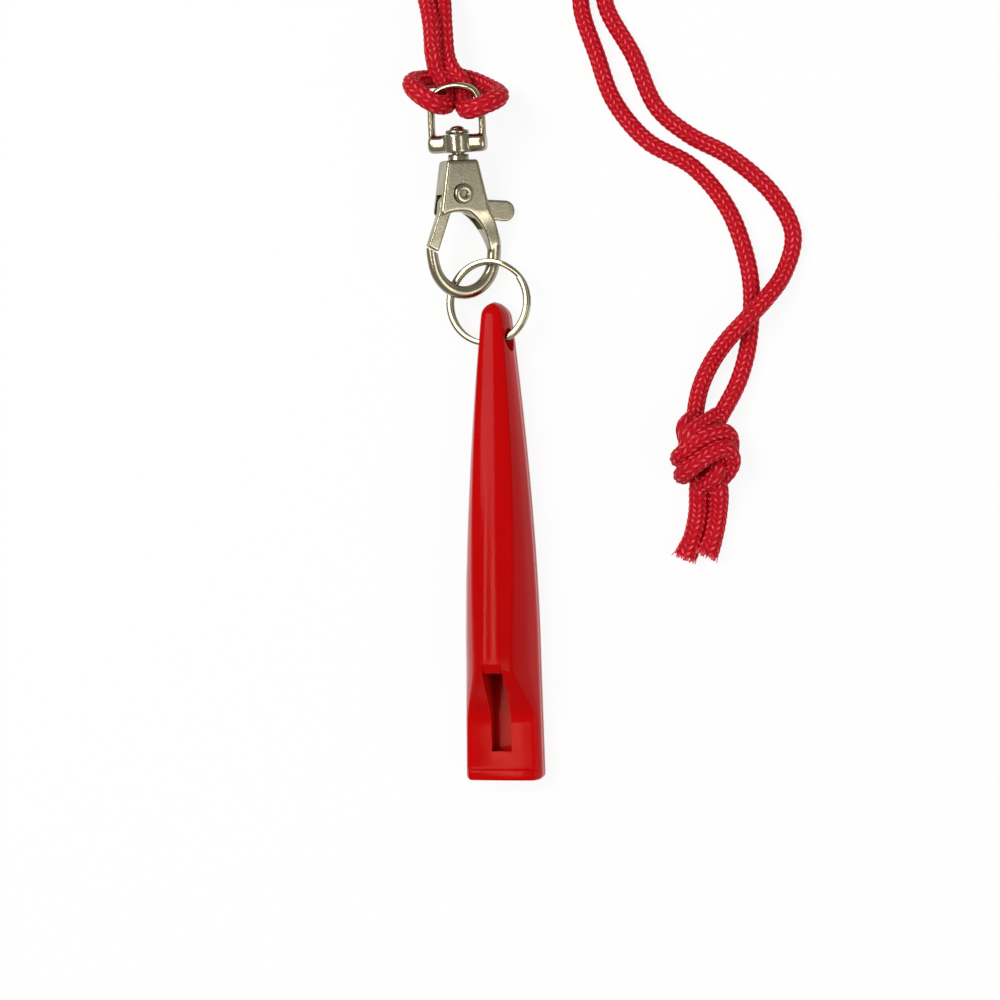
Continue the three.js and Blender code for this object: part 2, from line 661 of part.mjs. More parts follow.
// Leads from the hitch to the coil
const LEAD_OUTER = [
  legAhead(-1, FIT_GAP), legAhead(-1, 4), [-9.8, 92.5, 3.4], [-13.6, 99.5, 1.8], [-17.7, 108, 1.8],
  [coilLeft - 0.15, coilY - 5, coilLow], [coilLeft, coilY - FIT_GAP, coilLow],
];
const LEAD_INNER = [
  legAhead(1, FIT_GAP), legAhead(1, 4), [-6.3, 92.5, 3.4], [-10.1, 99.8, 1.8], [-14.3, 108.3, 1.8],
  [coilLeft + CORD_STEP - 0.15, coilY - 5, coilLow], [coilLeft + CORD_STEP, coilY - FIT_GAP, coilLow],
];

// Runs from the coil down to the knot; the outer one arches over the inner one on its way
const RUN_OUTER = [
  [coilRight, coilY - FIT_GAP, coilHigh], [coilRight, coilY - 6, coilHigh], [24.6, 108, 5],
  [21.4, 98, 2.4], [19.4, 90, floorLine], [24.2, 80, floorLine], [27.8, 71.4, floorLine],
  [33, 66.6, floorLine], [39.7, 62.6, floorLine], [46.8, 55.8, floorLine], [49.8, 49.3, floorLine],
  [48.2, 43, 1.8], [45.2, 38.6, 3.7], [42, 35.2, 4.8], [38.9, 32.2, 3.8],
  [36, 28.6, 2], [34, 24.3, 1.9], [33.3, 19.2, 3.4],
];
const RUN_INNER = [
  [coilRight - CORD_STEP, coilY - FIT_GAP, coilHigh], [coilRight - CORD_STEP, coilY - 6, coilHigh],
  [21.3, 108, 5], [17.8, 98, 2.4], [15.4, 90, floorLine], [18, 80.5, floorLine],
  [20.6, 73, floorLine], [26, 66, floorLine], [33.6, 61.2, floorLine], [39, 54.4, floorLine],
  [41.8, 47, floorLine], [42.8, 41, floorLine], [42.6, 35.5, floorLine], [41.8, 30, floorLine],
  [40.2, 25, 2], [37.2, 19.6, 3.4],
];

// Overhand knot in both strands, as wraps round a core
const KNOT_CENTRE = [35, 13.6, 4.9];
const KNOT_STRETCH = [1.2, 1.1, 1];
const KNOT_CORE = 3.4;
// Each wrap's radius, thickness, tilt, turn and height
const KNOT_WRAPS = [[3.1, 1.6, 78, 24, 1.9], [3.3, 1.6, 70, -30, -1.6], [2.8, 1.5, 60, 8, 0]];

function knot() {
  const wraps = KNOT_WRAPS.map(([radius, thick, tilt, turn, y]) => {
    const ring = new THREE.TorusGeometry(radius, thick, 8, 20).scale(1, 1, 1.15);
    return solid(ring.rotateX(deg(tilt)).rotateZ(deg(turn)).translate(0, y, 0));
  });
  const core = solid(new THREE.SphereGeometry(KNOT_CORE, 16, 10).scale(1, 1.45, 1));
  const lump = wraps.reduce((sum, wrap) => sum.add(wrap), core);
  return named("cord_knot", geometryOf(lump.scale(KNOT_STRETCH).translate(KNOT_CENTRE)), redCord);
}

const TAIL_LEFT = [[33.4, 8, 3.2], [32.9, 4, floorLine], [32.1, 0, floorLine], [31, -3.6, floorLine]];
const TAIL_RIGHT = [[37.1, 7.3, 3.2], [36.9, 4, floorLine], [36.2, 0, floorLine], [35.2, -3.2, floorLine]];

// Strap that ties the coil at its far side
function coilTie() {
  const turnOut = COIL_TURNS / 2 - 1;
  const outer = COIL_RADIUS - 2 * CORD_STEP * turnOut + cordRadius + FIT_GAP;
  const inner = COIL_RADIUS - CORD_STEP - 2 * CORD_STEP * (turnOut + 1) - cordRadius - FIT_GAP;
  const low = coilLow - cordRadius - FIT_GAP;
  const high = coilHigh + cordRadius + FIT_GAP;
  const frame = (grow) => {
    const corners = [[inner - grow, low - grow], [outer + grow, low - grow]];
    corners.push([outer + grow, high + grow], [inner - grow, high + grow]);
    return corners.map(([y, z]) => new THREE.Vector2(y, z));
  };
  const shape = new THREE.Shape(frame(TIE_THICKNESS));
  shape.holes.push(new THREE.Path(frame(0)));
  const strap = plate(shape, TIE_WIDTH).rotateX(Math.PI / 2).rotateZ(Math.PI / 2);
  return named("coil_tie", strap.translate(COIL_CENTRE[0], COIL_CENTRE[1], 0), tieBlack);
}

function neckCord() {
  const group = new THREE.Group();
  group.add(cordPiece("lead_cord_outer", vectors(LEAD_OUTER), 12));
  group.add(cordPiece("lead_cord_inner", vectors(LEAD_INNER), 12));
  group.add(coilStrand("coil_cord_outer", 0));
  group.add(coilStrand("coil_cord_inner", CORD_STEP));
  group.add(cordPiece("neck_cord_outer", vectors(RUN_OUTER), 34));
  group.add(cordPiece("neck_cord_inner", vectors(RUN_INNER), 32));
  group.add(knot());
  group.add(cordPiece("cord_tail_left", vectors(TAIL_LEFT), 4));
  group.add(cordPiece("cord_tail_right", vectors(TAIL_RIGHT), 4));
  group.add(coilTie());
  return group;
}

function swivel() {
  const { tilt, turned } = claspFrame(0);
  turned.add(swivelLoop(), hitch());
  return tilt;
}

const assembly = new THREE.Group();
assembly.add(whistle(), splitRing(), clasp(), swivel(), neckCord());
export default assembly;
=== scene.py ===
"""Dress the dog whistle: moulded whistle, split ring, swivel trigger clasp and braided neck cord."""

import logging
import math
import random
from contextlib import contextmanager
from dataclasses import dataclass, field
from enum import Enum
from typing import Any, Callable, Iterable, Iterator, Protocol, Sequence

import bmesh
import bpy
import numpy as np
from mathutils import Matrix, Vector


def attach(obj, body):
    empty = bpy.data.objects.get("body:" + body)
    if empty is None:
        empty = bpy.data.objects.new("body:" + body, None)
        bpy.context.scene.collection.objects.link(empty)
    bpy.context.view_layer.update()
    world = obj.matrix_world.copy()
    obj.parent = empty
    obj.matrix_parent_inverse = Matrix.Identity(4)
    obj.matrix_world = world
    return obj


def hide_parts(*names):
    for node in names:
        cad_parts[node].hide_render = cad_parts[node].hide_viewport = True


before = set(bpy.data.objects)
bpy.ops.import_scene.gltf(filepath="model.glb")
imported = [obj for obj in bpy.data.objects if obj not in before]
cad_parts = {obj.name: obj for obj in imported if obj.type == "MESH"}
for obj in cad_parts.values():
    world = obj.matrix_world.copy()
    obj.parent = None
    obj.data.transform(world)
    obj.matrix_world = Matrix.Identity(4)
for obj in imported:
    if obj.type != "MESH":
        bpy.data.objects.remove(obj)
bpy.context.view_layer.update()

LOG = logging.getLogger("dog_whistle")
Row = Sequence[float]
Pair = tuple[float, float]
Point = tuple[float, float, float]
Colour = tuple[float, float, float]

# The classes hold millimetres and degrees, and the scene is in metres.
MM = 0.001
TINY = 1e-6
UP = Vector((0.0, 0.0, 1.0))
WHITE = (1.0, 1.0, 1.0)
TO_SCENE = Matrix.Scale(MM, 4)

# A direction that no piece lies along.
ASKEW = (0.31, 0.52, 0.79)

# Steps round a turned piece or a round tool.
ROUND_SIDES = 48

# A turned profile starts and ends this far from its axis.
AXIS = 0.001

# The cord's relief and its finish draw the same stitches on the same map.
BRAID_MAP = "braid"
STITCH_SLANT = 0.9
STITCH_POWER = 0.6
CROWN_POWER = 0.5


class Body(str, Enum):
    """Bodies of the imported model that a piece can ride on."""

    LANYARD = "lanyard"
    CLASP = "clasp"
    GATE = "gate"
    RING = "ring"
    WHISTLE = "whistle"


class Slot(str, Enum):
    """Material slots of the record that a piece can take."""

    WHISTLE = "whistle_plastic"
    RING = "ring_nickel"
    CLASP = "clasp_nickel"
    CORD = "cord_red"
    TIE = "tie_black"


class Cut(str, Enum):
    """Ways to combine a piece with a tool solid."""

    AWAY = "DIFFERENCE"
    DOWN_TO = "INTERSECT"


class Op(str, Enum):
    """Operations on the values of a finish."""

    ADD = "ADD"
    SUBTRACT = "SUBTRACT"
    MULTIPLY = "MULTIPLY"
    MULTIPLY_ADD = "MULTIPLY_ADD"
    MODULO = "MODULO"
    POWER = "POWER"
    MAXIMUM = "MAXIMUM"
    ABSOLUTE = "ABSOLUTE"
    FLOOR = "FLOOR"
    FRACT = "FRACT"
    SINE = "SINE"


# Numbers and curves


def mix(a: float, b: float, t: float) -> float:
    """Return the value a share t of the way from a to b."""
    return a + (b - a) * t


def clamp01(t: float) -> float:
    """Return t held between 0 and 1."""
    return min(1.0, max(0.0, t))


def smooth(t: float) -> float:
    """Return t eased at both ends."""
    return t * t * (3.0 - 2.0 * t)


def catmull(rows: Sequence[Row], per_span: int = 12) -> np.ndarray:
    """Sample a centripetal Catmull-Rom curve through some points.

    Args:
        rows: The points that the curve passes through.
        per_span: Samples between two neighbouring points.

    Returns:
        An array of points along the curve, both ends included.
    """
    pts = np.array(rows, dtype=float)
    pts = np.vstack([2 * pts[0] - pts[1], pts, 2 * pts[-1] - pts[-2]])
    out = []
    for i in range(1, len(pts) - 2):
        p0, p1, p2, p3 = pts[i - 1 : i + 3]
        spans = ((p0, p1), (p1, p2), (p2, p3))
        d1, d2, d3 = (max(math.sqrt(float(np.linalg.norm(b - a))), TINY) for a, b in spans)
        m1 = ((p1 - p0) / d1 - (p2 - p0) / (d1 + d2) + (p2 - p1) / d2) * d2
        m2 = ((p2 - p1) / d2 - (p3 - p1) / (d2 + d3) + (p3 - p2) / d3) * d2
        for k in range(per_span):
            t = k / per_span
            a, b = 2 * t**3 - 3 * t**2 + 1, t**3 - 2 * t**2 + t
            out.append(a * p1 + b * m1 + (1 - a) * p2 + (t**3 - t**2) * m2)
    out.append(pts[-2])
    return np.array(out)


def even(points: np.ndarray, step: float) -> np.ndarray:
    """Respace points evenly along the line that they draw.

    Args:
        points: Points of the line.
        step: Wanted distance between two points.

    Returns:
        Points about a step apart, both ends kept.
    """
    spans = np.linalg.norm(np.diff(points, axis=0), axis=1)
    along = np.concatenate([[0.0], np.cumsum(spans)])
    count = max(2, int(round(along[-1] / step)) + 1)
    marks = np.linspace(0.0, along[-1], count)
    return np.stack([np.interp(marks, along, points[:, k]) for k in range(3)], axis=1)


def line_length(points: np.ndarray) -> float:
    """Return the length of the line through some points."""
    return float(np.linalg.norm(np.diff(points, axis=0), axis=1).sum())


def frames_along(points: np.ndarray) -> tuple[np.ndarray, np.ndarray, np.ndarray]:
    """Carry a frame along a line without twist. Its first normal leans to local Z.

    Args:
        points: Points of the line.

    Returns:
        Tangents, normals and binormals, one of each for each point.
    """
    tangents = np.gradient(points, axis=0)
    tangents /= np.linalg.norm(tangents, axis=1)[:, None]
    normals = np.zeros_like(points)
    normal = np.array(UP, dtype=float)
    for i, tangent in enumerate(tangents):
        normal = normal - tangent * float(normal @ tangent)
        if np.linalg.norm(normal) < TINY:
            normal = np.cross(tangent, ASKEW)
        normal = normal / np.linalg.norm(normal)
        normals[i] = normal
    return tangents, normals, np.cross(tangents, normals)


# Meshes


def add_object(name: str, data: bpy.types.ID) -> bpy.types.Object:
    """Put a new object into the scene.

    Args:
        name: Name of the object.
        data: Mesh, lamp or camera that it carries.

    Returns:
        The new object.
    """
    made = bpy.data.objects.new(name, data)
    bpy.context.scene.collection.objects.link(made)
    return made


def mesh_object(name: str, points: Iterable[Row], faces: Iterable[Sequence[int]]) -> bpy.types.Object:
    """Make a smooth shaded mesh object in the scene.

    Args:
        name: Name of the object.
        points: Vertices in metres.
        faces: Vertex indices of each face.

    Returns:
        The new object.
    """
    mesh = bpy.data.meshes.new(name)
    mesh.from_pydata([tuple(float(c) for c in p) for p in points], [], [tuple(f) for f in faces])
    mesh.validate()
    mesh.shade_smooth()
    return add_object(name, mesh)


def ring_faces(rings: int, sides: int, closed: bool) -> list[list[int]]:
    """Return the faces between neighbouring rings of points.

    Args:
        rings: Number of rings.
        sides: Points on each ring.
        closed: Whether the last ring joins the first one.

    Returns:
        Vertex indices of each face.
    """
    faces = []
    for r in range(rings if closed else rings - 1):
        here, there = r * sides, (r + 1) % rings * sides
        for i in range(sides):
            j = (i + 1) % sides
            faces.append([here + i, here + j, there + j, there + i])
    return faces


def tube(name: str, rings: np.ndarray) -> bpy.types.Object:
    """Skin a row of closed rings and cap both ends.

    Args:
        name: Name of the object.
        rings: Points as an array of rings by sides by 3, in metres.

    Returns:
        The closed tube.
    """
    rows, sides, _ = rings.shape
    faces = ring_faces(rows, sides, closed=False)
    faces.append(list(range(sides))[::-1])
    faces.append(list(range((rows - 1) * sides, rows * sides)))
    piece = mesh_object(name, rings.reshape(-1, 3), faces)
    outward(piece)
    return piece


@contextmanager
def editing(piece: bpy.types.Object) -> Iterator[bmesh.types.BMesh]:
    """Open a piece's mesh for editing, and write it back afterwards.

    Args:
        piece: The piece to edit.

    Yields:
        The open mesh.
    """
    work = bmesh.new()
    try:
        work.from_mesh(piece.data)
        yield work
        work.to_mesh(piece.data)
    finally:
        work.free()


def outward(piece: bpy.types.Object) -> None:
    """Turn all faces of a closed piece outwards."""
    with editing(piece) as work:
        bmesh.ops.recalc_face_normals(work, faces=work.faces)


def lathe(name: str, profile: Sequence[Row], place: Matrix) -> bpy.types.Object:
    """Turn a closed profile of radius and height about the local Y axis.

    Args:
        name: Name of the object.
        profile: Radius and height pairs in millimetres, from the low end to the high end.
        place: Matrix from the local frame to the scene, in metres.

    Returns:
        The turned object.
    """
    rings = []
    for k in range(ROUND_SIDES):
        turn = 2.0 * math.pi * k / ROUND_SIDES
        rings.append([place @ Vector((r * math.cos(turn), h, r * math.sin(turn))) for r, h in profile])
    points = [p for ring in rings for p in ring]
    piece = mesh_object(name, points, ring_faces(ROUND_SIDES, len(profile), closed=True))
    weld(piece)
    outward(piece)
    return piece


def weld(piece: bpy.types.Object) -> None:
    """Join vertices of a piece that lie on each other.

    Args:
        piece: The piece to change.
    """
    with editing(piece) as work:
        bmesh.ops.remove_doubles(work, verts=work.verts, dist=TINY)
        bmesh.ops.dissolve_degenerate(work, edges=work.edges, dist=TINY)


def slab(
    name: str, outline: Sequence[Row], thickness: float, place: Matrix, edge: float = 0.0
) -> bpy.types.Object:
    """Extrude an outline evenly about its plane, with rounded edges.

    Args:
        name: Name of the object.
        outline: Corner points in the local XY plane, in millimetres.
        thickness: Thickness along local Z.
        place: Matrix from the local frame to the scene, in metres.
        edge: Edge radius in millimetres, 0 for sharp edges.

    Returns:
        The slab.
    """
    count = len(outline)
    low = [(x, y, -thickness / 2) for x, y in outline]
    high = [(x, y, thickness / 2) for x, y in outline]
    faces = [list(range(count))[::-1], [count + i for i in range(count)]]
    faces += [[i, (i + 1) % count, count + (i + 1) % count, count + i] for i in range(count)]
    piece = mesh_object(name, [place @ Vector(p) for p in low + high], faces)
    outward(piece)
    if edge > 0:
        bevel(piece, edge, angle=50.0)
    return piece


def bake(piece: bpy.types.Object) -> None:
    """Replace a piece's mesh by the outcome of its modifiers.

    Args:
        piece: The piece to change.
    """
    graph = bpy.context.evaluated_depsgraph_get()
    graph.update()
    done = bpy.data.meshes.new_from_object(piece.evaluated_get(graph))
    old = piece.data
    piece.modifiers.clear()
    piece.data = done
    bpy.data.meshes.remove(old)


def carve(piece: bpy.types.Object, tools: Sequence[bpy.types.Object], way: Cut = Cut.AWAY) -> None:
    """Combine a piece with tool solids, which are then removed.

    Args:
        piece: The piece to change.
        tools: Solids that cut it, or that it is cut down to.
        way: Whether the tools are cut away, or the piece is cut down to them.
    """
    for tool in tools:
        modifier = piece.modifiers.new("carve", "BOOLEAN")
        modifier.operation = way.value
        modifier.solver = "EXACT"
        modifier.object = tool
        bake(piece)
        bpy.data.objects.remove(tool)


def cast(piece: bpy.types.Object, voxel: float, rounds: int) -> None:
    """Fuse a piece into one soft skin, as a casting has.

    Args:
        piece: A piece of overlapping closed shells.
        voxel: Grain of the skin in millimetres.
        rounds: How often the skin is smoothed.
    """
    remesh = piece.modifiers.new("skin", "REMESH")
    remesh.mode = "VOXEL"
    remesh.voxel_size = voxel * MM
    remesh.use_smooth_shade = True
    relax = piece.modifiers.new("relax", "SMOOTH")
    relax.factor = 0.5
    relax.iterations = rounds
    bake(piece)
    piece.data.shade_smooth()


def crisp(piece: bpy.types.Object, angle: float) -> None:
    """Keep the sharp edges of a piece crisp, and shade the rest smooth.

    Args:
        piece: The piece to change.
        angle: Least angle of a sharp edge, in degrees.
    """
    piece.data.shade_smooth()
    with editing(piece) as work:
        for edge in work.edges:
            if len(edge.link_faces) == 2:
                edge.smooth = edge.calc_face_angle() < math.radians(angle)


def bevel(piece: bpy.types.Object, width: float, angle: float) -> None:
    """Round the sharp edges of a piece.

    Args:
        piece: The piece to change.
        width: Width of the rounding in millimetres.
        angle: Least angle of an edge that is rounded, in degrees.
    """
    modifier = piece.modifiers.new("edge", "BEVEL")
    modifier.width = width * MM
    modifier.segments = 3
    modifier.limit_method = "ANGLE"
    modifier.angle_limit = math.radians(angle)
    bake(piece)


def soften_edges(piece: bpy.types.Object, width: float) -> None:
    """Round the sharp edges of a moulding by a width in millimetres, and shade it."""
    bevel(piece, width, angle=40.0)
    crisp(piece, angle=50.0)


def join(name: str, pieces: Sequence[bpy.types.Object]) -> bpy.types.Object:
    """Merge some mesh objects into a new one.

    Args:
        name: Name of the joined object.
        pieces: Objects to merge, which are then removed.

    Returns:
        The joined object.
    """
    work = bmesh.new()
    for piece in pieces:
        work.from_mesh(piece.data)
    mesh = bpy.data.meshes.new(name)
    work.to_mesh(mesh)
    work.free()
    mesh.shade_smooth()
    for piece in pieces:
        bpy.data.objects.remove(piece)
    return add_object(name, mesh)


def block(name: str, low: Row, high: Row, place: Matrix) -> bpy.types.Object:
    """Make a box between two corners, as a cutting tool.

    Args:
        name: Name of the object.
        low: Corner with the least coordinates, in millimetres.
        high: Corner with the greatest coordinates, in millimetres.
        place: Matrix from the local frame to the scene, in metres.

    Returns:
        The box.
    """
    corners = [(x, y, z) for z in (low[2], high[2]) for y in (low[1], high[1]) for x in (low[0], high[0])]
    faces = [(0, 2, 3, 1), (4, 5, 7, 6), (0, 1, 5, 4), (2, 6, 7, 3), (0, 4, 6, 2), (1, 3, 7, 5)]
    return mesh_object(name, [place @ Vector(c) for c in corners], faces)


def round_bar(name: str, start: Row, end: Row, radii: Pair, place: Matrix) -> bpy.types.Object:
    """Make a round bar or cone between two points.

    Args:
        name: Name of the object.
        start: Middle of the first end, in millimetres.
        end: Middle of the other end, in millimetres.
        radii: Radius at both ends, in millimetres.
        place: Matrix from the local frame to the scene, in metres.

    Returns:
        The bar.
    """
    points = np.array([start, end], dtype=float)
    _, normals, binormals = frames_along(points)
    turns = np.linspace(0.0, 2.0 * math.pi, ROUND_SIDES, endpoint=False)
    rings = []
    for p, n, b, r in zip(points, normals, binormals, radii):
        rings.append([place @ Vector(p + r * (math.cos(t) * n + math.sin(t) * b)) for t in turns])
    return tube(name, np.array(rings))


def sweep(
    name: str,
    path: np.ndarray,
    section: Sequence[Row],
    place: Matrix,
    swell: Callable[[float], float] | None = None,
) -> bpy.types.Object:
    """Sweep a closed section along a path.

    Args:
        name: Name of the object.
        path: Points in millimetres.
        section: Section points, along the binormal and along the normal, which starts from local Z.
        place: Matrix from the path's frame to the scene, in metres.
        swell: Growth of the section by its share of the path.

    Returns:
        The swept solid.
    """
    _, normals, binormals = frames_along(path)
    rings = []
    for i, (p, n, b) in enumerate(zip(path, normals, binormals)):
        grow = swell(i / (len(path) - 1)) if swell else 1.0
        rings.append([place @ Vector(p + grow * (x * b + y * n)) for x, y in section])
    return tube(name, np.array(rings))


def ellipse(radius_x: float, radius_y: float, sides: int) -> list[Pair]:
    """Return the points of an ellipse."""
    turns = [2.0 * math.pi * i / sides for i in range(sides)]
    return [(radius_x * math.cos(t), radius_y * math.sin(t)) for t in turns]


def squircle(half: Pair, power: Pair, sides: int) -> list[Pair]:
    """Return the points of a rounded rectangle.

    Args:
        half: Half the width and half the height.
        power: Powers along the width and the height. A smaller one is squarer.
        sides: Number of points.

    Returns:
        Points once round the section.
    """
    out = []
    for x, y in ellipse(1.0, 1.0, sides):
        squared = (math.copysign(abs(x) ** power[0], x), math.copysign(abs(y) ** power[1], y))
        out.append((half[0] * squared[0], half[1] * squared[1]))
    return out


def arc_line(rows: Sequence[Row], per_curve: int = 10) -> list[Pair]:
    """Draw an outline of straight lines and quadratic curves.

    Args:
        rows: End points; a row of four numbers is a control point and an end point.
        per_curve: Samples on each curve.

    Returns:
        Points of the outline.
    """
    out = [tuple(rows[0])]
    for row in rows[1:]:
        if len(row) == 2:
            out.append(tuple(row))
            continue
        (ax, ay), (bx, by, cx, cy) = out[-1], row
        for k in range(1, per_curve + 1):
            t = k / per_curve
            a, b, c = (1 - t) ** 2, 2 * t * (1 - t), t * t
            out.append((a * ax + b * bx + c * cx, a * ay + b * by + c * cy))
    if math.dist(out[0], out[-1]) < TINY:
        out.pop()
    return out


# Finishes: a scale is in cells to the metre, and a relief has its share and its height in metres.


class NodeSheet:
    """Adds and joins the shader nodes of one material."""

    def __init__(self, name: str) -> None:
        """Start a material with a principled shader.

        Args:
            name: Name of the material.
        """
        self.material = bpy.data.materials.new(name)
        self.material.use_nodes = True
        self.tree = self.material.node_tree
        self.tree.nodes.clear()
        self.shader = self.add("ShaderNodeBsdfPrincipled")
        self.output = self.add("ShaderNodeOutputMaterial")
        self.tree.links.new(self.shader.outputs["BSDF"], self.output.inputs["Surface"])

    def add(self, kind: str, values: dict[Any, Any] | None = None, **settings: Any) -> bpy.types.Node:
        """Add a node.

        Args:
            kind: Type name of the node.
            values: Input values or output sockets to join, by input name or index.
            **settings: Attributes of the node.

        Returns:
            The new node.
        """
        node = self.tree.nodes.new(kind)
        for key, value in settings.items():
            setattr(node, key, value)
        for key, value in (values or {}).items():
            self.feed(node, key, value)
        return node

    def feed(self, node: bpy.types.Node, key: Any, value: Any) -> None:
        """Set an input of a node, or join an output socket to it.

        Args:
            node: The node.
            key: Name or index of its input.
            value: Value or output socket.
        """
        if isinstance(value, bpy.types.NodeSocket):
            self.tree.links.new(value, node.inputs[key])
        else:
            node.inputs[key].default_value = value

    def math(self, operation: Op, a: Any, b: Any = 0.0, c: Any = 0.0) -> bpy.types.NodeSocket:
        """Add an operation on up to three values and return its output."""
        return self.add("ShaderNodeMath", {0: a, 1: b, 2: c}, operation=operation.value).outputs[0]

    def place(self) -> bpy.types.NodeSocket:
        """Return the object coordinates."""
        return self.add("ShaderNodeTexCoord").outputs["Object"]

    def pointiness(self) -> bpy.types.NodeSocket:
        """Return how far the surface bulges: about 0.5 where flat, more on edges, less in hollows."""
        return self.add("ShaderNodeNewGeometry").outputs["Pointiness"]

    def noise(self, scale: float, detail: float = 4.0, vector: Any = None) -> bpy.types.NodeSocket:
        """Return a noise with some finer layers, on the object coordinates or on others."""
        values = {"Vector": vector or self.place(), "Scale": scale, "Detail": detail, "Roughness": 0.5}
        return self.add("ShaderNodeTexNoise", values).outputs["Fac"]

    def stretched(self, scale: Row, turn: Row = (0.0, 0.0, 0.0)) -> bpy.types.NodeSocket:
        """Return object coordinates that are scaled, and turned by angles in radians."""
        values = {"Vector": self.place(), "Rotation": turn, "Scale": scale}
        return self.add("ShaderNodeMapping", values).outputs["Vector"]

    def ramp(self, value: Any, places: Row, colours: Sequence[Colour]) -> bpy.types.NodeSocket:
        """Map a value to colours.

        Args:
            value: Socket of the value.
            places: Values at which the colours stand.
            colours: Colour at each place.

        Returns:
            The colour output.
        """
        node = self.add("ShaderNodeValToRGB", {"Fac": value})
        elements = node.color_ramp.elements
        while len(elements) < len(places):
            elements.new(0.5)
        for element, place, colour in zip(elements, places, colours):
            element.position = place
            element.color = (*colour, 1.0)
        return node.outputs["Color"]

    def span(self, value: Any, old: Pair, new: Pair) -> bpy.types.NodeSocket:
        """Map a value from its old range onto a new one, and return the output."""
        values = dict(zip(("From Min", "From Max", "To Min", "To Max"), (*old, *new)))
        return self.add("ShaderNodeMapRange", {"Value": value, **values}).outputs["Result"]

    def blend(self, share: Any, a: Any, b: Any) -> bpy.types.NodeSocket:
        """Mix two colours.

        Args:
            share: Share of the second colour.
            a: First colour or its socket.
            b: Second colour or its socket.

        Returns:
            The colour output.
        """
        node = self.add("ShaderNodeMix", data_type="RGBA", blend_type="MIX")
        for index, value in ((0, share), (6, a), (7, b)):
            if isinstance(value, tuple):
                value = (*value, 1.0)
            self.feed(node, index, value)
        return node.outputs[2]

    def bump(self, height: Any, relief: Pair, below: Any = None) -> bpy.types.NodeSocket:
        """Add a bump.

        Args:
            height: Socket of the height.
            relief: Share of the bump that shows, and its height in metres.
            below: Normal output of a bump that lies under this one.

        Returns:
            The normal output.
        """
        strength, distance = relief
        node = self.add("ShaderNodeBump", {"Height": height, "Strength": strength, "Distance": distance})
        if below is not None:
            self.feed(node, "Normal", below)
        return node.outputs["Normal"]

    def surface(self, **values: Any) -> bpy.types.Material:
        """Set inputs of the shader.

        Args:
            **values: Values or sockets by the input's name, with _ for a space.

        Returns:
            The material.
        """
        for key, value in values.items():
            self.feed(self.shader, key.replace("_", " "), value)
        return self.material


@dataclass(frozen=True)
class MouldedPlastic:
    """Glossy moulded plastic with faint flow marks, rubbed edges and handling scuffs."""

    name: str = "moulded_red"
    deep: Colour = (0.43, 0.001, 0.0015)
    bright: Colour = (0.50, 0.0015, 0.002)
    rubbed: Colour = (0.60, 0.012, 0.011)
    gloss: Pair = (0.09, 0.17)
    specular: float = 0.05
    flow_scale: float = 120.0
    flow_stretch: Point = (1.0, 0.25, 1.0)
    flow_stops: Pair = (0.3, 0.7)
    edge_range: Pair = (0.53, 0.62)
    edge_wear: float = 0.6
    wear_scale: float = 700.0
    scuff_scale: float = 900.0
    scuff_stretch: Point = (1.0, 0.06, 1.0)
    scuff_turn: Point = (0.0, 0.0, 0.5)
    scuff_range: Pair = (0.66, 0.76)
    scuff_haze: float = 0.16
    scuff_relief: Pair = (0.06, 0.00005)
    haze_scale: float = 260.0
    haze_range: Pair = (0.3, 0.7)
    peel_scale: float = 1500.0
    peel_relief: Pair = (0.10, 0.00012)

    def material(self) -> bpy.types.Material:
        """Make the plastic as a node material.

        Returns:
            The new material.
        """
        sheet = NodeSheet(self.name)
        flow = sheet.noise(self.flow_scale, detail=3.0, vector=sheet.stretched(self.flow_stretch))
        colour = sheet.ramp(flow, self.flow_stops, (self.deep, self.bright))
        edges = sheet.span(sheet.pointiness(), self.edge_range, (0.0, self.edge_wear))
        wear = sheet.math(Op.MULTIPLY, edges, sheet.noise(self.wear_scale))
        colour = sheet.blend(wear, colour, self.rubbed)
        drawn = sheet.stretched(self.scuff_stretch, self.scuff_turn)
        scuffs = sheet.noise(self.scuff_scale, detail=2.0, vector=drawn)
        haze = sheet.span(sheet.noise(self.haze_scale, detail=5.0), self.haze_range, self.gloss)
        rough = sheet.math(Op.ADD, haze, sheet.span(scuffs, self.scuff_range, (0.0, self.scuff_haze)))
        peel = sheet.bump(sheet.noise(self.peel_scale, detail=2.0), self.peel_relief)
        normal = sheet.bump(scuffs, self.scuff_relief, peel)
        return sheet.surface(
            Base_Color=colour,
            Roughness=rough,
            Normal=normal,
            Specular_IOR_Level=self.specular,
        )


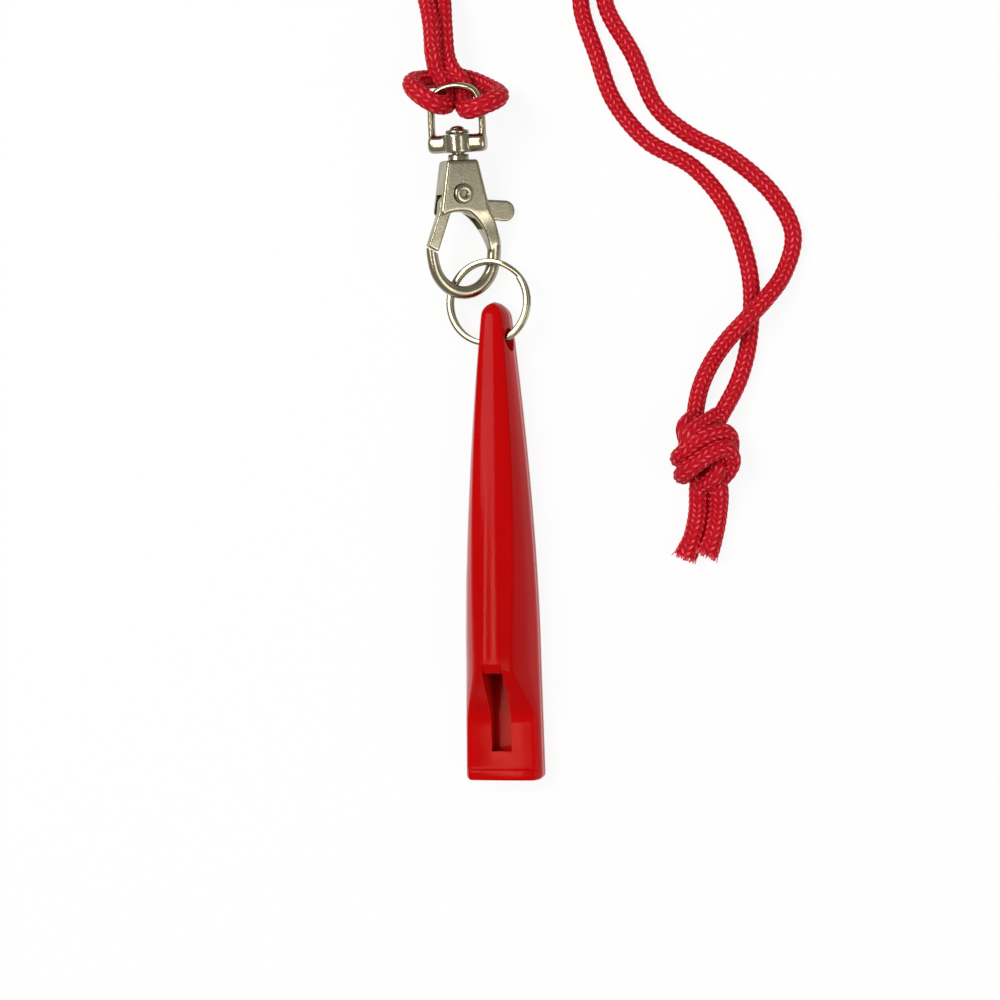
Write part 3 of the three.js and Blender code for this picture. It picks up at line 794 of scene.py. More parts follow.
@dataclass(frozen=True)
class PlatedMetal:
    """Plated metal with a warm tint, cast grain, hairline scratches and tarnish in its hollows."""

    name: str
    bright: Colour = (0.385, 0.355, 0.25)
    tint: Colour = (0.285, 0.255, 0.17)
    tarnish: Colour = (0.12, 0.10, 0.07)
    smooth_side: float = 0.11
    rough_side: float = 0.26
    grain: float = 0.10
    grain_scale: float = 2600.0
    grain_height: float = 0.00008
    cloud_scale: float = 330.0
    cloud_stops: Pair = (0.32, 0.62)
    cloud_range: Pair = (0.3, 0.75)
    hollow_range: Pair = (0.49, 0.42)
    hollow_dirt: float = 0.8
    dirt_range: Pair = (0.2, 0.6)
    dirt_shares: Pair = (1.0, 0.5)
    scratch_scale: float = 1400.0
    scratch_stretch: Point = (1.0, 0.04, 1.0)
    scratch_turn: Point = (0.3, 0.2, 0.9)
    scratch_range: Pair = (0.62, 0.72)
    scratch_haze: float = 0.12
    scratch_relief: Pair = (0.05, 0.00004)

    def material(self) -> bpy.types.Material:
        """Make the metal as a node material.

        Returns:
            The new material.
        """
        sheet = NodeSheet(self.name)
        cloud = sheet.noise(self.cloud_scale, detail=5.0)
        colour = sheet.ramp(cloud, self.cloud_stops, (self.tint, self.bright))
        hollow = sheet.span(sheet.pointiness(), self.hollow_range, (0.0, self.hollow_dirt))
        dirt = sheet.math(Op.MULTIPLY, hollow, sheet.span(cloud, self.dirt_range, self.dirt_shares))
        colour = sheet.blend(dirt, colour, self.tarnish)
        drawn = sheet.stretched(self.scratch_stretch, self.scratch_turn)
        scratch = sheet.noise(self.scratch_scale, detail=2.0, vector=drawn)
        haze = sheet.span(cloud, self.cloud_range, (self.rough_side, self.smooth_side))
        rough = sheet.math(Op.ADD, haze, sheet.span(scratch, self.scratch_range, (0.0, self.scratch_haze)))
        pits = sheet.bump(sheet.noise(self.grain_scale, detail=3.0), (self.grain, self.grain_height))
        normal = sheet.bump(scratch, self.scratch_relief, pits)
        return sheet.surface(Base_Color=colour, Metallic=1.0, Roughness=rough, Normal=normal)


@dataclass(frozen=True)
class BraidedCord:
    """Braided cord whose slanting stitches are drawn on its own map of columns and pitches."""

    name: str = "braided_red"
    shade: Colour = (0.28, 0.001, 0.005)
    thread: Colour = (0.52, 0.0015, 0.011)
    glint: Colour = (0.84, 0.095, 0.13)
    sheen: Colour = (1.0, 0.42, 0.46)
    sheen_weight: float = 0.03
    sheen_roughness: float = 0.4
    specular: float = 0.14
    roughness: Pair = (0.75, 0.42)
    fibre_count: float = 40.0
    grain_scale: float = 1700.0
    stitch_lustre: float = 0.72
    grain_lustre: float = 0.55
    fibre_lustre: float = 0.035
    lustre_stops: Row = (0.28, 0.62, 0.90, 1.0)
    stitch_relief: Pair = (0.5, 0.0002)
    fibre_relief: Pair = (0.22, 0.00005)

    def material(self) -> bpy.types.Material:
        """Make the braid as a node material.

        Returns:
            The new material.
        """
        sheet = NodeSheet(self.name)
        chart = sheet.add("ShaderNodeUVMap", uv_map=BRAID_MAP).outputs[0]
        across, along, _ = sheet.add("ShaderNodeSeparateXYZ", {0: chart}).outputs
        inside = sheet.math(Op.FRACT, across)
        odd = sheet.math(Op.MODULO, sheet.math(Op.FLOOR, across), 2.0)
        side = sheet.math(Op.MULTIPLY_ADD, odd, -2.0 * STITCH_SLANT, STITCH_SLANT)
        shift = sheet.math(Op.MULTIPLY, sheet.math(Op.SUBTRACT, inside, 0.5), side)
        phase = sheet.math(Op.ADD, along, shift)
        stitch = sheet.math(Op.ABSOLUTE, sheet.math(Op.SINE, sheet.math(Op.MULTIPLY, phase, math.pi)))
        crown = sheet.math(Op.SINE, sheet.math(Op.MULTIPLY, inside, math.pi))
        stitch = sheet.math(Op.POWER, stitch, STITCH_POWER)
        height = sheet.math(Op.MULTIPLY, stitch, sheet.math(Op.POWER, crown, CROWN_POWER))
        strands = sheet.math(Op.MULTIPLY, sheet.math(Op.ADD, inside, shift), self.fibre_count)
        fibres = sheet.math(Op.SINE, strands)
        grain = sheet.noise(self.grain_scale, detail=3.0)
        lustre = sheet.math(Op.MULTIPLY, height, self.stitch_lustre)
        lustre = sheet.math(Op.MULTIPLY_ADD, grain, self.grain_lustre, lustre)
        lustre = sheet.math(Op.MULTIPLY_ADD, fibres, self.fibre_lustre, lustre)
        colour = sheet.ramp(lustre, self.lustre_stops, (self.shade, self.thread, self.thread, self.glint))
        relief = sheet.bump(height, self.stitch_relief)
        return sheet.surface(
            Base_Color=colour,
            Roughness=sheet.span(height, (0.0, 1.0), self.roughness),
            Normal=sheet.bump(fibres, self.fibre_relief, relief),
            Specular_IOR_Level=self.specular,
            Sheen_Weight=self.sheen_weight,
            Sheen_Roughness=self.sheen_roughness,
            Sheen_Tint=(*self.sheen, 1.0),
        )


@dataclass(frozen=True)
class WovenStrap:
    """Black woven strap with crossing threads."""

    name: str = "woven_black"
    dark: Colour = (0.008, 0.008, 0.009)
    light: Colour = (0.045, 0.045, 0.05)
    threads: float = 700.0
    waviness: float = 1.5
    weave_stops: Pair = (0.05, 0.7)
    roughness: Pair = (0.9, 0.6)
    relief: Pair = (0.5, 0.0002)

    def material(self) -> bpy.types.Material:
        """Make the strap as a node material.

        Returns:
            The new material.
        """
        sheet = NodeSheet(self.name)
        values = {"Vector": sheet.place(), "Scale": self.threads, "Distortion": self.waviness}
        waves = [sheet.add("ShaderNodeTexWave", values, bands_direction=way) for way in ("X", "Y")]
        weave = sheet.math(Op.MULTIPLY, *(wave.outputs["Fac"] for wave in waves))
        return sheet.surface(
            Base_Color=sheet.ramp(weave, self.weave_stops, (self.dark, self.light)),
            Roughness=sheet.span(weave, (0.0, 1.0), self.roughness),
            Normal=sheet.bump(weave, self.relief),
        )


def dress(piece: bpy.types.Object, material: bpy.types.Material) -> None:
    """Give a piece one material."""
    piece.data.materials.clear()
    piece.data.materials.append(material)


def settle(piece: bpy.types.Object, body: Body, nodes: Sequence[str] = ()) -> bpy.types.Object:
    """Let a piece ride on a body and stand for CAD nodes.

    Args:
        piece: The finished piece.
        body: Body that carries it.
        nodes: CAD nodes that the piece replaces.

    Returns:
        The same piece.
    """
    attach(piece, body.value)
    if nodes:
        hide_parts(*nodes)
    return piece


def dress_node(node: str, material: bpy.types.Material) -> None:
    """Give a procedural material to a CAD node that stays.

    Args:
        node: Name of the node.
        material: The material.
    """
    for slot in bpy.data.objects[node].material_slots:
        slot.link = "OBJECT"
        slot.material = material


# Pieces


class SubAssembly(Protocol):
    """Part of the object that builds its own pieces."""

    def build(self) -> list[bpy.types.Object]:
        """Build, dress and settle the pieces, and return them."""


@dataclass
class Whistle:
    """Moulded whistle: a shell with its sound window, and a base plate below the side seam."""

    length: float = 80.0
    mouth_width: float = 13.0
    barrel_width: float = 12.4
    tip_width: float = 4.2
    deck_height: float = 5.2
    barrel_height: float = 12.2
    tip_height: float = 6.6
    base_thickness: float = 2.0
    side_wall: float = 3.4
    edge_radius: float = 0.6
    side_curve: float = 1.7
    crest: float = 0.24
    lip_length: float = 1.8
    lip_rise: float = 0.5
    lip_blend: float = 0.4
    # Place from the mouth and size of the section, up to the full size.
    mouth_rounding: Sequence[Pair] = ((0.0, 0.94), (0.15, 0.97), (0.4, 0.992), (0.8, 1.0))
    deck_stations: Row = (1.2, 1.6, 1.72, 1.84, 1.96, 2.08, 2.3, 4.0, 6.0, 8.0, 9.0)
    deck_length: float = 9.5
    ramp_length: float = 10.5
    tip_round: float = 2.4
    window_width: float = 3.4
    window_from_mouth: float = 4.8
    window_length: float = 13.8
    labium_length: float = 1.6
    labium_overlap: float = 0.3
    labium_drop: float = 1.15
    labium_thin: float = 0.2
    labium_root: Pair = (0.25, 2.0)  # depth into the barrel and drop below the ridge
    bore_wide: float = 3.0
    bore_narrow: float = 1.7
    bore_length: float = 44.0
    bore_wall: float = 1.5
    windway: Pair = (4.0, 1.9)  # width and height
    hole_radius: float = 1.95
    hole_from_tip: float = 6.4
    hole_height: float = 4.1
    seam_gap: float = 0.06
    shell_edge: float = 0.16
    base_edge: float = 0.1
    labium_edge: float = 0.08
    finish: MouldedPlastic = field(default_factory=MouldedPlastic)

    def __post_init__(self) -> None:
        """Work out the places along the whistle."""
        self.mouth = -self.length / 2
        self.tip = self.length / 2
        self.ramp_start = self.mouth + self.deck_length
        self.barrel_start = self.ramp_start + self.ramp_length
        self.window_start = self.mouth + self.window_from_mouth
        self.window_end = self.window_start + self.window_length
        self.labium_back = self.window_end - self.labium_overlap + self.labium_length
        self.place = TO_SCENE

    def along_barrel(self, y: float) -> float:
        """Return the share of the barrel that lies before a place along the whistle."""
        return clamp01((y - self.barrel_start) / (self.tip - self.barrel_start))

    def half_width(self, y: float) -> float:
        """Return half the width of the whistle.

        Args:
            y: Place along the whistle.

        Returns:
            Half the width in millimetres.
        """
        share = clamp01((y - self.mouth) / (self.barrel_start - self.mouth))
        barrel = mix(self.mouth_width, self.barrel_width, share)
        return mix(barrel, self.tip_width, self.along_barrel(y) ** self.side_curve) / 2

    def top_height(self, y: float) -> float:
        """Return the height of the ridge.

        Args:
            y: Place along the whistle.

        Returns:
            The height in millimetres.
        """
        lip_end = self.mouth + self.lip_length + self.lip_blend / 2
        lip = smooth(clamp01((lip_end - y) / self.lip_blend)) * self.lip_rise
        ramp = clamp01((y - self.ramp_start) / self.ramp_length)
        barrel = mix(self.barrel_height, self.tip_height, self.along_barrel(y))
        return lip + mix(self.deck_height, barrel, smooth(ramp))

    def section(self, y: float, shrink: float) -> list[Point]:
        """Return the points of one cross section.

        Args:
            y: Place along the whistle.
            shrink: Size of the section, 1 for full.

        Returns:
            Points once round the section, in millimetres.
        """
        half = self.half_width(y) * shrink
        low = (1 - shrink) * 0.5 * self.top_height(y)
        top = self.top_height(y) * mix(1.0, shrink, 0.5)
        wall = min(self.side_wall, top - self.edge_radius - 0.2)
        ridge = clamp01((top - self.deck_height) / (self.barrel_height - self.deck_height))
        shoulder = half - mix(self.edge_radius, half * 0.5, ridge)
        edge = min(self.edge_radius, half * 0.4)
        crest = half * self.crest
        # Distance from the middle and share of the height, from the side wall up to the crest.
        flanks = [
            (half, 0.0),
            (mix(half, shoulder, 0.35), 0.42),
            (mix(half, shoulder, 0.75), 0.72),
            (shoulder, 0.86),
            (mix(shoulder * 0.72, mix(shoulder, crest, 0.6), ridge), mix(0.955, 0.94, ridge)),
            (mix(shoulder * 0.38, crest + 0.07, ridge), mix(0.99, 0.984, ridge)),
            (mix(shoulder * 0.2, crest - 0.12, ridge), mix(0.997, 0.9985, ridge)),
            (0.0, 1.0),
        ]
        arch = [(x, mix(wall, top, share), 0.0) for x, share in flanks]
        mirrored = [(-x, z, 0.0) for x, z, _ in arch[-2::-1]]
        crown = [(x, z) for x, z, _ in catmull(arch + mirrored, per_span=5)]
        corner = []
        for k in range(6):
            turn = math.pi / 2 * k / 5
            corner.append((half - edge + edge * math.sin(turn), low + edge - edge * math.cos(turn)))
        lift = [(half, mix(low + edge, wall, k / 4)) for k in range(1, 4)]
        right = corner + lift
        left = [(-x, z) for x, z in right[::-1]]
        return [(x, y, z) for x, z in right + crown + left]

    def blank(self, name: str) -> bpy.types.Object:
        """Make the whole outer form, still closed.

        Args:
            name: Name of the object.

        Returns:
            The form.
        """
        rows = [(self.mouth + y, shrink) for y, shrink in self.mouth_rounding]
        rows += [(self.mouth + y, 1.0) for y in self.deck_stations]
        rows += [(self.ramp_start + self.ramp_length * k / 24, 1.0) for k in range(25)]
        end = self.tip - self.tip_round
        rows += [(mix(self.barrel_start, end, k / 40), 1.0) for k in range(1, 41)]
        # The last ring stops just short of a point.
        for k in range(1, 13):
            turn = math.pi / 2 * k / 12.6
            rows.append((end + self.tip_round * math.sin(turn), math.cos(turn)))
        rings = np.array([self.section(y, shrink) for y, shrink in rows]) * MM
        return tube(name, rings)

    def bore_tool(self) -> bpy.types.Object:
        """Make the tapered tone bore as a cutting tool.

        Returns:
            The tool.
        """
        far = self.window_end + self.bore_length
        near_z = self.top_height(self.barrel_start) - self.bore_wall - self.bore_wide
        far_z = self.top_height(far) - self.bore_wall - self.bore_narrow
        start = (0.0, self.window_end - 0.5, near_z)
        return round_bar("bore", start, (0.0, far, far_z), (self.bore_wide, self.bore_narrow), self.place)

    def shell(self) -> bpy.types.Object:
        """Make the top moulding with its bore, window, windway and ring hole.

        Returns:
            The moulding.
        """
        piece = self.blank("whistle_top")
        reach = self.length
        floor, seam = self.base_thickness, self.base_thickness + self.seam_gap / 2
        under = block("under", (-reach, -reach, -reach), (reach, reach, seam), self.place)
        half, front, back = self.window_width / 2, self.window_start, self.labium_back
        window = block("window", (-half, front, floor), (half, back, reach), self.place)
        wide, high = self.windway
        front, back = self.mouth - 1, self.window_start + 0.6
        mouth = block("windway", (-wide / 2, front, floor), (wide / 2, back, floor + high), self.place)
        y, z, radius = self.tip - self.hole_from_tip, self.hole_height, self.hole_radius
        hole = round_bar("hole", (-reach, y, z), (reach, y, z), (radius, radius), self.place)
        carve(piece, [under, self.bore_tool(), window, mouth, hole])
        soften_edges(piece, self.shell_edge)
        return piece

    def base(self) -> bpy.types.Object:
        """Make the base plate below the seam.

        Returns:
            The plate.
        """
        piece = self.blank("whistle_foot")
        reach = self.length
        floor = self.base_thickness - self.seam_gap / 2
        carve(piece, [block("over", (-reach, -reach, floor), (reach, reach, reach), self.place)])
        soften_edges(piece, self.base_edge)
        return piece

    def labium(self) -> bpy.types.Object:
        """Make the thin edge that splits the air at the window's far end.

        Returns:
            The edge.
        """
        half = self.window_width / 2
        back, z = self.labium_back, self.top_height(self.labium_back)
        edge = back - self.labium_length
        deep, low = self.labium_root
        # Place along the whistle and height, once round the wedge.
        profile = [
            (edge, z - self.labium_drop - self.labium_thin),
            (back + deep, z - low),
            (back + deep, z - 0.12),
            (back, z - 0.08),
            (edge, z - self.labium_drop),
        ]
        points = [self.place @ Vector((x, py, pz)) for x in (-half, half) for py, pz in profile]
        faces = [(0, 1, 2, 3, 4), (9, 8, 7, 6, 5)]
        faces += [(k, 5 + k, 5 + (k + 1) % 5, (k + 1) % 5) for k in range(5)]
        piece = mesh_object("labium_edge", points, faces)
        outward(piece)
        soften_edges(piece, self.labium_edge)
        return piece

    def build(self) -> list[bpy.types.Object]:
        """Build, dress and settle the whistle.

        Returns:
            Its pieces.
        """
        plastic = self.finish.material()
        parts = [(self.shell(), ["whistle_shell"]), (self.base(), ["whistle_base"]), (self.labium(), [])]
        for piece, nodes in parts:
            dress(piece, plastic)
            settle(piece, Body.WHISTLE, nodes)
        dress_node("windway_block", plastic)
        return [piece for piece, _ in parts]


@dataclass
class SplitRing:
    """Two turns of flat wire with a cranked step between them."""

    radius: float = 6.85
    wire_width: float = 0.95
    wire_thickness: float = 0.62
    turn_step: float = 1.08
    turns: float = 1.92
    crank: float = 0.14
    steps: int = 240
    section_power: Pair = (0.45, 0.6)  # along the width and the thickness
    section_sides: int = 16
    start: float = 64.0
    roll: float = 8.0
    centre: Row = (-0.9, 39.95, 4.1)
    finish: PlatedMetal = PlatedMetal("ring_plate", smooth_side=0.08, rough_side=0.2, grain=0.03)

    def build(self) -> list[bpy.types.Object]:
        """Build, dress and settle the ring.

        Returns:
            Its one piece.
        """
        roll = Matrix.Rotation(-math.radians(self.roll), 4, "Y")
        place = TO_SCENE @ Matrix.Translation(self.centre) @ roll
        half = (self.wire_width / 2, self.wire_thickness / 2)
        section = squircle(half, self.section_power, self.section_sides)
        rings = []
        for i in range(self.steps + 1):
            turn = self.turns * i / self.steps
            angle = math.radians(self.start) + 2 * math.pi * turn
            rise = self.turn_step * (smooth(clamp01((turn - self.turns / 2) / self.crank + 0.5)) - 0.5)
            out = Vector((math.cos(angle), math.sin(angle), 0.0))
            rings.append([place @ (out * (self.radius + r) + UP * (rise + z)) for r, z in section])
        piece = tube("split_ring_wire", np.array(rings))
        crisp(piece, angle=60)
        dress(piece, self.finish.material())
        return [settle(piece, Body.RING, ["split_ring"])]


@dataclass
class TriggerClasp:
    """Cast trigger clasp with its lever, tubular rivet, swivel post and swivel loop."""

    origin: Row = (-4.7881, 48.288, 5.1)
    roll: float = 34.0
    pitch: float = 8.0
    hook_width: float = 13.0
    hook_drop: float = 6.6
    hook_wire: Pair = (1.9, 1.6)  # width and thickness
    hook_swell: Pair = (1.34, 1.04)  # girth at the body and at the tip
    hook_tip_height: float = 1.4
    body_top: float = 15.4
    body_top_width: float = 5.5
    body_foot: float = 6.2
    body_foot_width: float = 9.2
    body_thickness: float = 4.4
    body_edge: float = 0.5
    taper: Pair = (6.8, -0.6)  # height where it starts and where it ends
    cheek: float = 0.9
    lever_thickness: float = 1.7
    lever_wall: float = 1.1
    lever_edge: float = 0.25
    spring_pocket: float = 2.8
    rivet_side: float = -0.3
    rivet_height: float = 9.8
    rivet_shaft: float = 0.9
    rivet_bore: float = 0.5
    rivet_head: Pair = (1.7, 0.5)  # radius and thickness
    rivet_depth: float = 0.45
    tab_reach: float = 9.4
    tab_width: float = 3.9
    gate_width: float = 1.7
    gate_reach: float = 10.3
    gate_sweep: Pair = (210.0, 260.0)  # first and last direction from the pivot
    post_radius: float = 1.1
    post_head: Pair = (1.95, 1.35)  # radius and height
    post_dome: Pair = (1.25, 0.6)  # radius, and height of the rim below it
    post_gap: float = 0.12
    bar_gap: float = 1.2
    bar_size: Point = (9.8, 3.0, 3.0)  # width, height and depth
    bar_power: Pair = (0.72, 0.72)  # along the height and the depth
    bar_rounding: Pair = (0.72, 0.07)  # girth at the ends and share of the length
    lug_radius: float = 2.5
    arch_height: float = 8.6
    arch_wire: float = 1.2
    arch_fullness: float = 0.75
    # Shares of half the bar's width and of the arch's height, from its foot up.
    arch_shape: Sequence[Pair] = ((1.0, 0.3), (0.96, 0.55), (0.72, 0.82))
    fit_gap: float = 0.3
    running_gap: float = 0.28
    skin: float = 0.15
    lever_skin: float = 0.11
    finish: PlatedMetal = PlatedMetal("clasp_plate")
    spring_finish: PlatedMetal = PlatedMetal(
        "spring_wire", bright=(0.55, 0.55, 0.54), tint=(0.42, 0.42, 0.42), rough_side=0.4
    )

    def __post_init__(self) -> None:
        """Work out the frames and the places along the clasp."""
        pitch = Matrix.Rotation(math.radians(self.pitch), 4, "X")
        self.level = TO_SCENE @ Matrix.Translation(self.origin) @ pitch
        self.rolled = self.level @ Matrix.Rotation(math.radians(self.roll), 4, "Y")
        self.pivot = (self.rivet_side, self.rivet_height)
        self.lever_eye = self.rivet_shaft + self.fit_gap + self.lever_wall
        self.hook_tip = (-self.hook_width / 2 + self.hook_wire[0] / 2, self.hook_tip_height)
        self.bar_low = self.body_top + self.bar_gap
        self.bar_high = self.bar_low + self.bar_size[1]
        self.slot_half = self.body_thickness / 2 - self.cheek
        self.arch_top = self.bar_high + self.arch_height - self.arch_wire / 2
        self.arch_depth = self.arch_wire * self.arch_fullness

    def hook_path(self) -> np.ndarray:
        """Draw the centreline of the hook.

        Returns:
            Points in the clasp's frame, from the body to the tip.
        """
        side = (self.hook_width - self.hook_wire[0]) / 2
        drop = self.hook_drop
        # Down the right limb, round the bow and up to the tip.
        rows = [
            (self.body_foot_width / 2 - 0.9, self.body_foot - 1.2, 0),
            (side - 0.15, 2.4, 0),
            (side, 0, 0),
            (side * 0.86, -drop * 0.52, 0),
            (side * 0.5, -drop * 0.87, 0),
            (0, -drop, 0),
            (-side * 0.5, -drop * 0.87, 0),
            (-side * 0.87, -drop * 0.5, 0),
            (-side, 0.1, 0),
            (*self.hook_tip, 0),
        ]
        return even(catmull(rows), step=0.2)

    def body_outline(self) -> list[Pair]:
        """Draw the outline of the cheeks.

        Returns:
            Points in the clasp's frame.
        """
        top, foot, outer = self.body_top_width / 2, self.body_foot_width / 2, self.hook_width / 2
        high, low, wire = self.body_top, self.body_foot, self.hook_wire[0]
        # Down the right side to the limb, back under the cheeks and up the left side.
        return arc_line([
            (top - 0.5, high),
            (top, high, top + 0.12, high - 0.7),
            (foot, low + 0.4),
            (outer - 0.4, low - 2.4, outer - 0.02, 0.0),
            (outer - wire + 0.02, 0.0),
            (outer - wire - 0.8, low - 1.6, 0.6, low + 0.5),
            (-1.8, low + 1, -foot + 0.5, low),
            (-foot + 0.3, low + 0.7),
            (-top - 0.12, high - 0.7),
            (-top, high, -top + 0.5, high),
        ])

    def taper_tool(self) -> bpy.types.Object:
        """Make the side view of the body: full thickness to the foot, then a taper to the hook.

        Returns:
            The solid that the body is cut down to.
        """
        thick, thin = self.body_thickness / 2, self.hook_wire[1] / 2
        shares = [k / 12 for k in range(13)]
        fall = [(mix(*self.taper, t), mix(thick, thin, smooth(t))) for t in shares]
        rows = [(self.body_top + 1, thick), *fall, (-1.0, thin)]
        outline = rows + [(y, -z) for y, z in rows[::-1]]
        aside = Matrix(((0, 0, 1, 0), (1, 0, 0, 0), (0, 1, 0, 0), (0, 0, 0, 1)))
        return slab("taper", outline, self.hook_width * 2, self.rolled @ aside)

    def sweep_tool(self) -> bpy.types.Object:
        """Make the space at the hook's tip that the end of the gate sweeps, with its gap.

        Returns:
            The cutting tool.
        """
        px, py = self.pivot
        reach = self.gate_reach + self.fit_gap
        turns = [math.radians(mix(*self.gate_sweep, k / 24)) for k in range(25)]
        arc = [(px + reach * math.cos(t), py + reach * math.sin(t)) for t in turns]
        return slab("sweep", [*arc, (arc[-1][0], arc[0][1])], self.body_thickness * 2, self.rolled)

    def slot_tools(self) -> list[bpy.types.Object]:
        """Make the lever's slot: open below the rivet, round about the eye, open to the tab's side.

        Returns:
            The cutting tools.
        """
        reach, half = self.body_foot_width, self.slot_half
        px, py = self.pivot
        space = self.lever_eye + 2 * self.fit_gap
        return [
            block("below", (-reach, self.body_foot - 2.4, -half), (reach, py, half), self.rolled),
            round_bar("eye", (px, py, -half), (px, py, half), (space, space), self.rolled),
            block("aside", (px, py - 1, -half), (reach, py + space, half), self.rolled),
        ]

    def rivet_hole(self, reach: float) -> bpy.types.Object:
        """Return the rivet's clearance hole as a cutting tool, with a reach to both sides."""
        radius = self.rivet_shaft + self.fit_gap
        return round_bar("hole", (*self.pivot, -reach), (*self.pivot, reach), (radius, radius), self.rolled)

    def body(self) -> bpy.types.Object:
        """Make the cast body with its hook.

        Returns:
            The body.
        """
        cheeks = slab("cheeks", self.body_outline(), self.body_thickness, self.rolled, self.body_edge)
        carve(cheeks, [self.taper_tool()], Cut.DOWN_TO)
        wide, thick = self.hook_wire
        section = ellipse(wide / 2, thick / 2, sides=24)
        hook = sweep("hook", self.hook_path(), section, self.rolled, swell=lambda t: mix(*self.hook_swell, t))
        piece = join("clasp_casting", [cheeks, hook])
        cast(piece, self.skin, rounds=5)
        carve(piece, [*self.slot_tools(), self.rivet_hole(self.body_foot_width), self.sweep_tool()])
        crisp(piece, angle=45)
        return piece

    def lever_outline(self) -> list[Pair]:
        """Draw the outline of the lever with its thumb tab and gate arm.

        Returns:
            Points in the clasp's frame.
        """
        px, py = self.pivot
        eye = self.lever_eye
        tab_top = self.rivet_height - 0.9
        gate_x = self.hook_tip[0] + 0.05
        ends = [gate_x + self.gate_width * (0.5 - k / 8) for k in range(9)]
        gate_end = [(x, py - math.sqrt(self.gate_reach ** 2 - (x - px) ** 2)) for x in ends]
        radius = self.tab_width * 0.45
        start, middle = self.tab_reach - radius, tab_top - 0.5 - radius
        turns = [math.pi / 2 - math.pi * k / 16 for k in range(17)]
        thumb = [(start + radius * math.cos(t), middle + radius * math.sin(t)) for t in turns]
        # From the eye round the thumb tab, under it to the gate's end and back up.
        return arc_line([
            (px, py + eye),
            (px + eye, py + eye, px + eye + 0.2, tab_top),
            *thumb,
            (2.4, tab_top - self.tab_width + 0.6),
            (-0.6, self.body_foot + 1.3, -2.2, self.body_foot + 0.4),
            *gate_end,
            (-self.body_foot_width / 2 + 0.4, self.body_foot + 0.6),
            (px - eye - 1.35, py - 1.3),
            (px - eye - 1.0, py - 0.3, px - eye * 0.7, py + eye * 0.7),
            (px - eye * 0.4, py + eye, px, py + eye),
        ])

    def gate(self) -> bpy.types.Object:
        """Make the lever that carries the gate.

        Returns:
            The lever.
        """
        piece = slab("clasp_lever", self.lever_outline(), self.lever_thickness, self.rolled, self.lever_edge)
        cast(piece, self.lever_skin, rounds=3)
        reach, radius = self.lever_thickness, self.spring_pocket
        pocket = round_bar("pocket", (*self.pivot, 0.0), (*self.pivot, reach), (radius, radius), self.rolled)
        carve(piece, [self.rivet_hole(reach), pocket])
        crisp(piece, angle=45)
        return piece

    def rivet(self) -> bpy.types.Object:
        """Make the rivet that the lever turns on, hollow at both heads.

        Returns:
            The rivet.
        """
        seat = self.body_thickness / 2 + self.fit_gap
        wide, thick = self.rivet_head
        head, bore = seat + thick, self.rivet_bore
        # Radius and height, from the blind centre over the rim to the shaft.
        half = [
            (AXIS, head - self.rivet_depth),
            (bore, head - self.rivet_depth),
            (bore, head - 0.2),
            (bore + 0.06, head - 0.07),
            (bore + 0.2, head),
            (wide - 0.5, head),
            (wide - 0.2, head - 0.07),
            (wide - 0.04, seat + 0.26),
            (wide, seat + 0.1),
            (wide - 0.05, seat),
            (self.rivet_shaft, seat),
        ]
        profile = half + [(r, -h) for r, h in half[::-1]]
        turn = self.rolled @ Matrix.Translation((*self.pivot, 0.0)) @ Matrix.Rotation(math.pi / 2, 4, "X")
        piece = lathe("rivet_eyelet", profile, turn)
        crisp(piece, angle=60)
        return piece

    def post(self) -> bpy.types.Object:
        """Make the swivel post with its collar and its stepped, domed head.

        Returns:
            The post.
        """
        wide, high = self.post_head
        low = self.bar_high + self.post_gap
        foot, collar = self.body_top - 0.1, self.bar_low - self.running_gap
        button, rim = self.post_dome
        spring = low + rim + 0.1
        turns = [math.pi / 2 * k / 10 for k in range(10)]
        dome = [(button * math.cos(t), spring + (high - rim - 0.1) * math.sin(t)) for t in turns]
        # Radius and height, from the foot up over the collar, the neck and the head.
        profile = [
            (AXIS, foot),
            (wide - 0.2, foot),
            (wide - 0.2, collar - 0.1),
            (wide - 0.3, collar),
            (self.post_radius, collar),
            (self.post_radius, low),
            (wide - 0.1, low),
            (wide, low + 0.1),
            (wide, low + rim - 0.15),
            (wide - 0.15, low + rim),
            (button + 0.1, low + rim),
            *dome,
            (AXIS, low + high),
        ]
        piece = lathe("swivel_pin", profile, self.rolled)
        crisp(piece, angle=50)
        return piece

    def bar_girth(self, share: float) -> float:
        """Return the girth of the swivel bar at a share of its length: rounded at both ends."""
        least, run = self.bar_rounding
        return mix(least, 1.0, math.sqrt(clamp01(min(share, 1 - share) / run)))

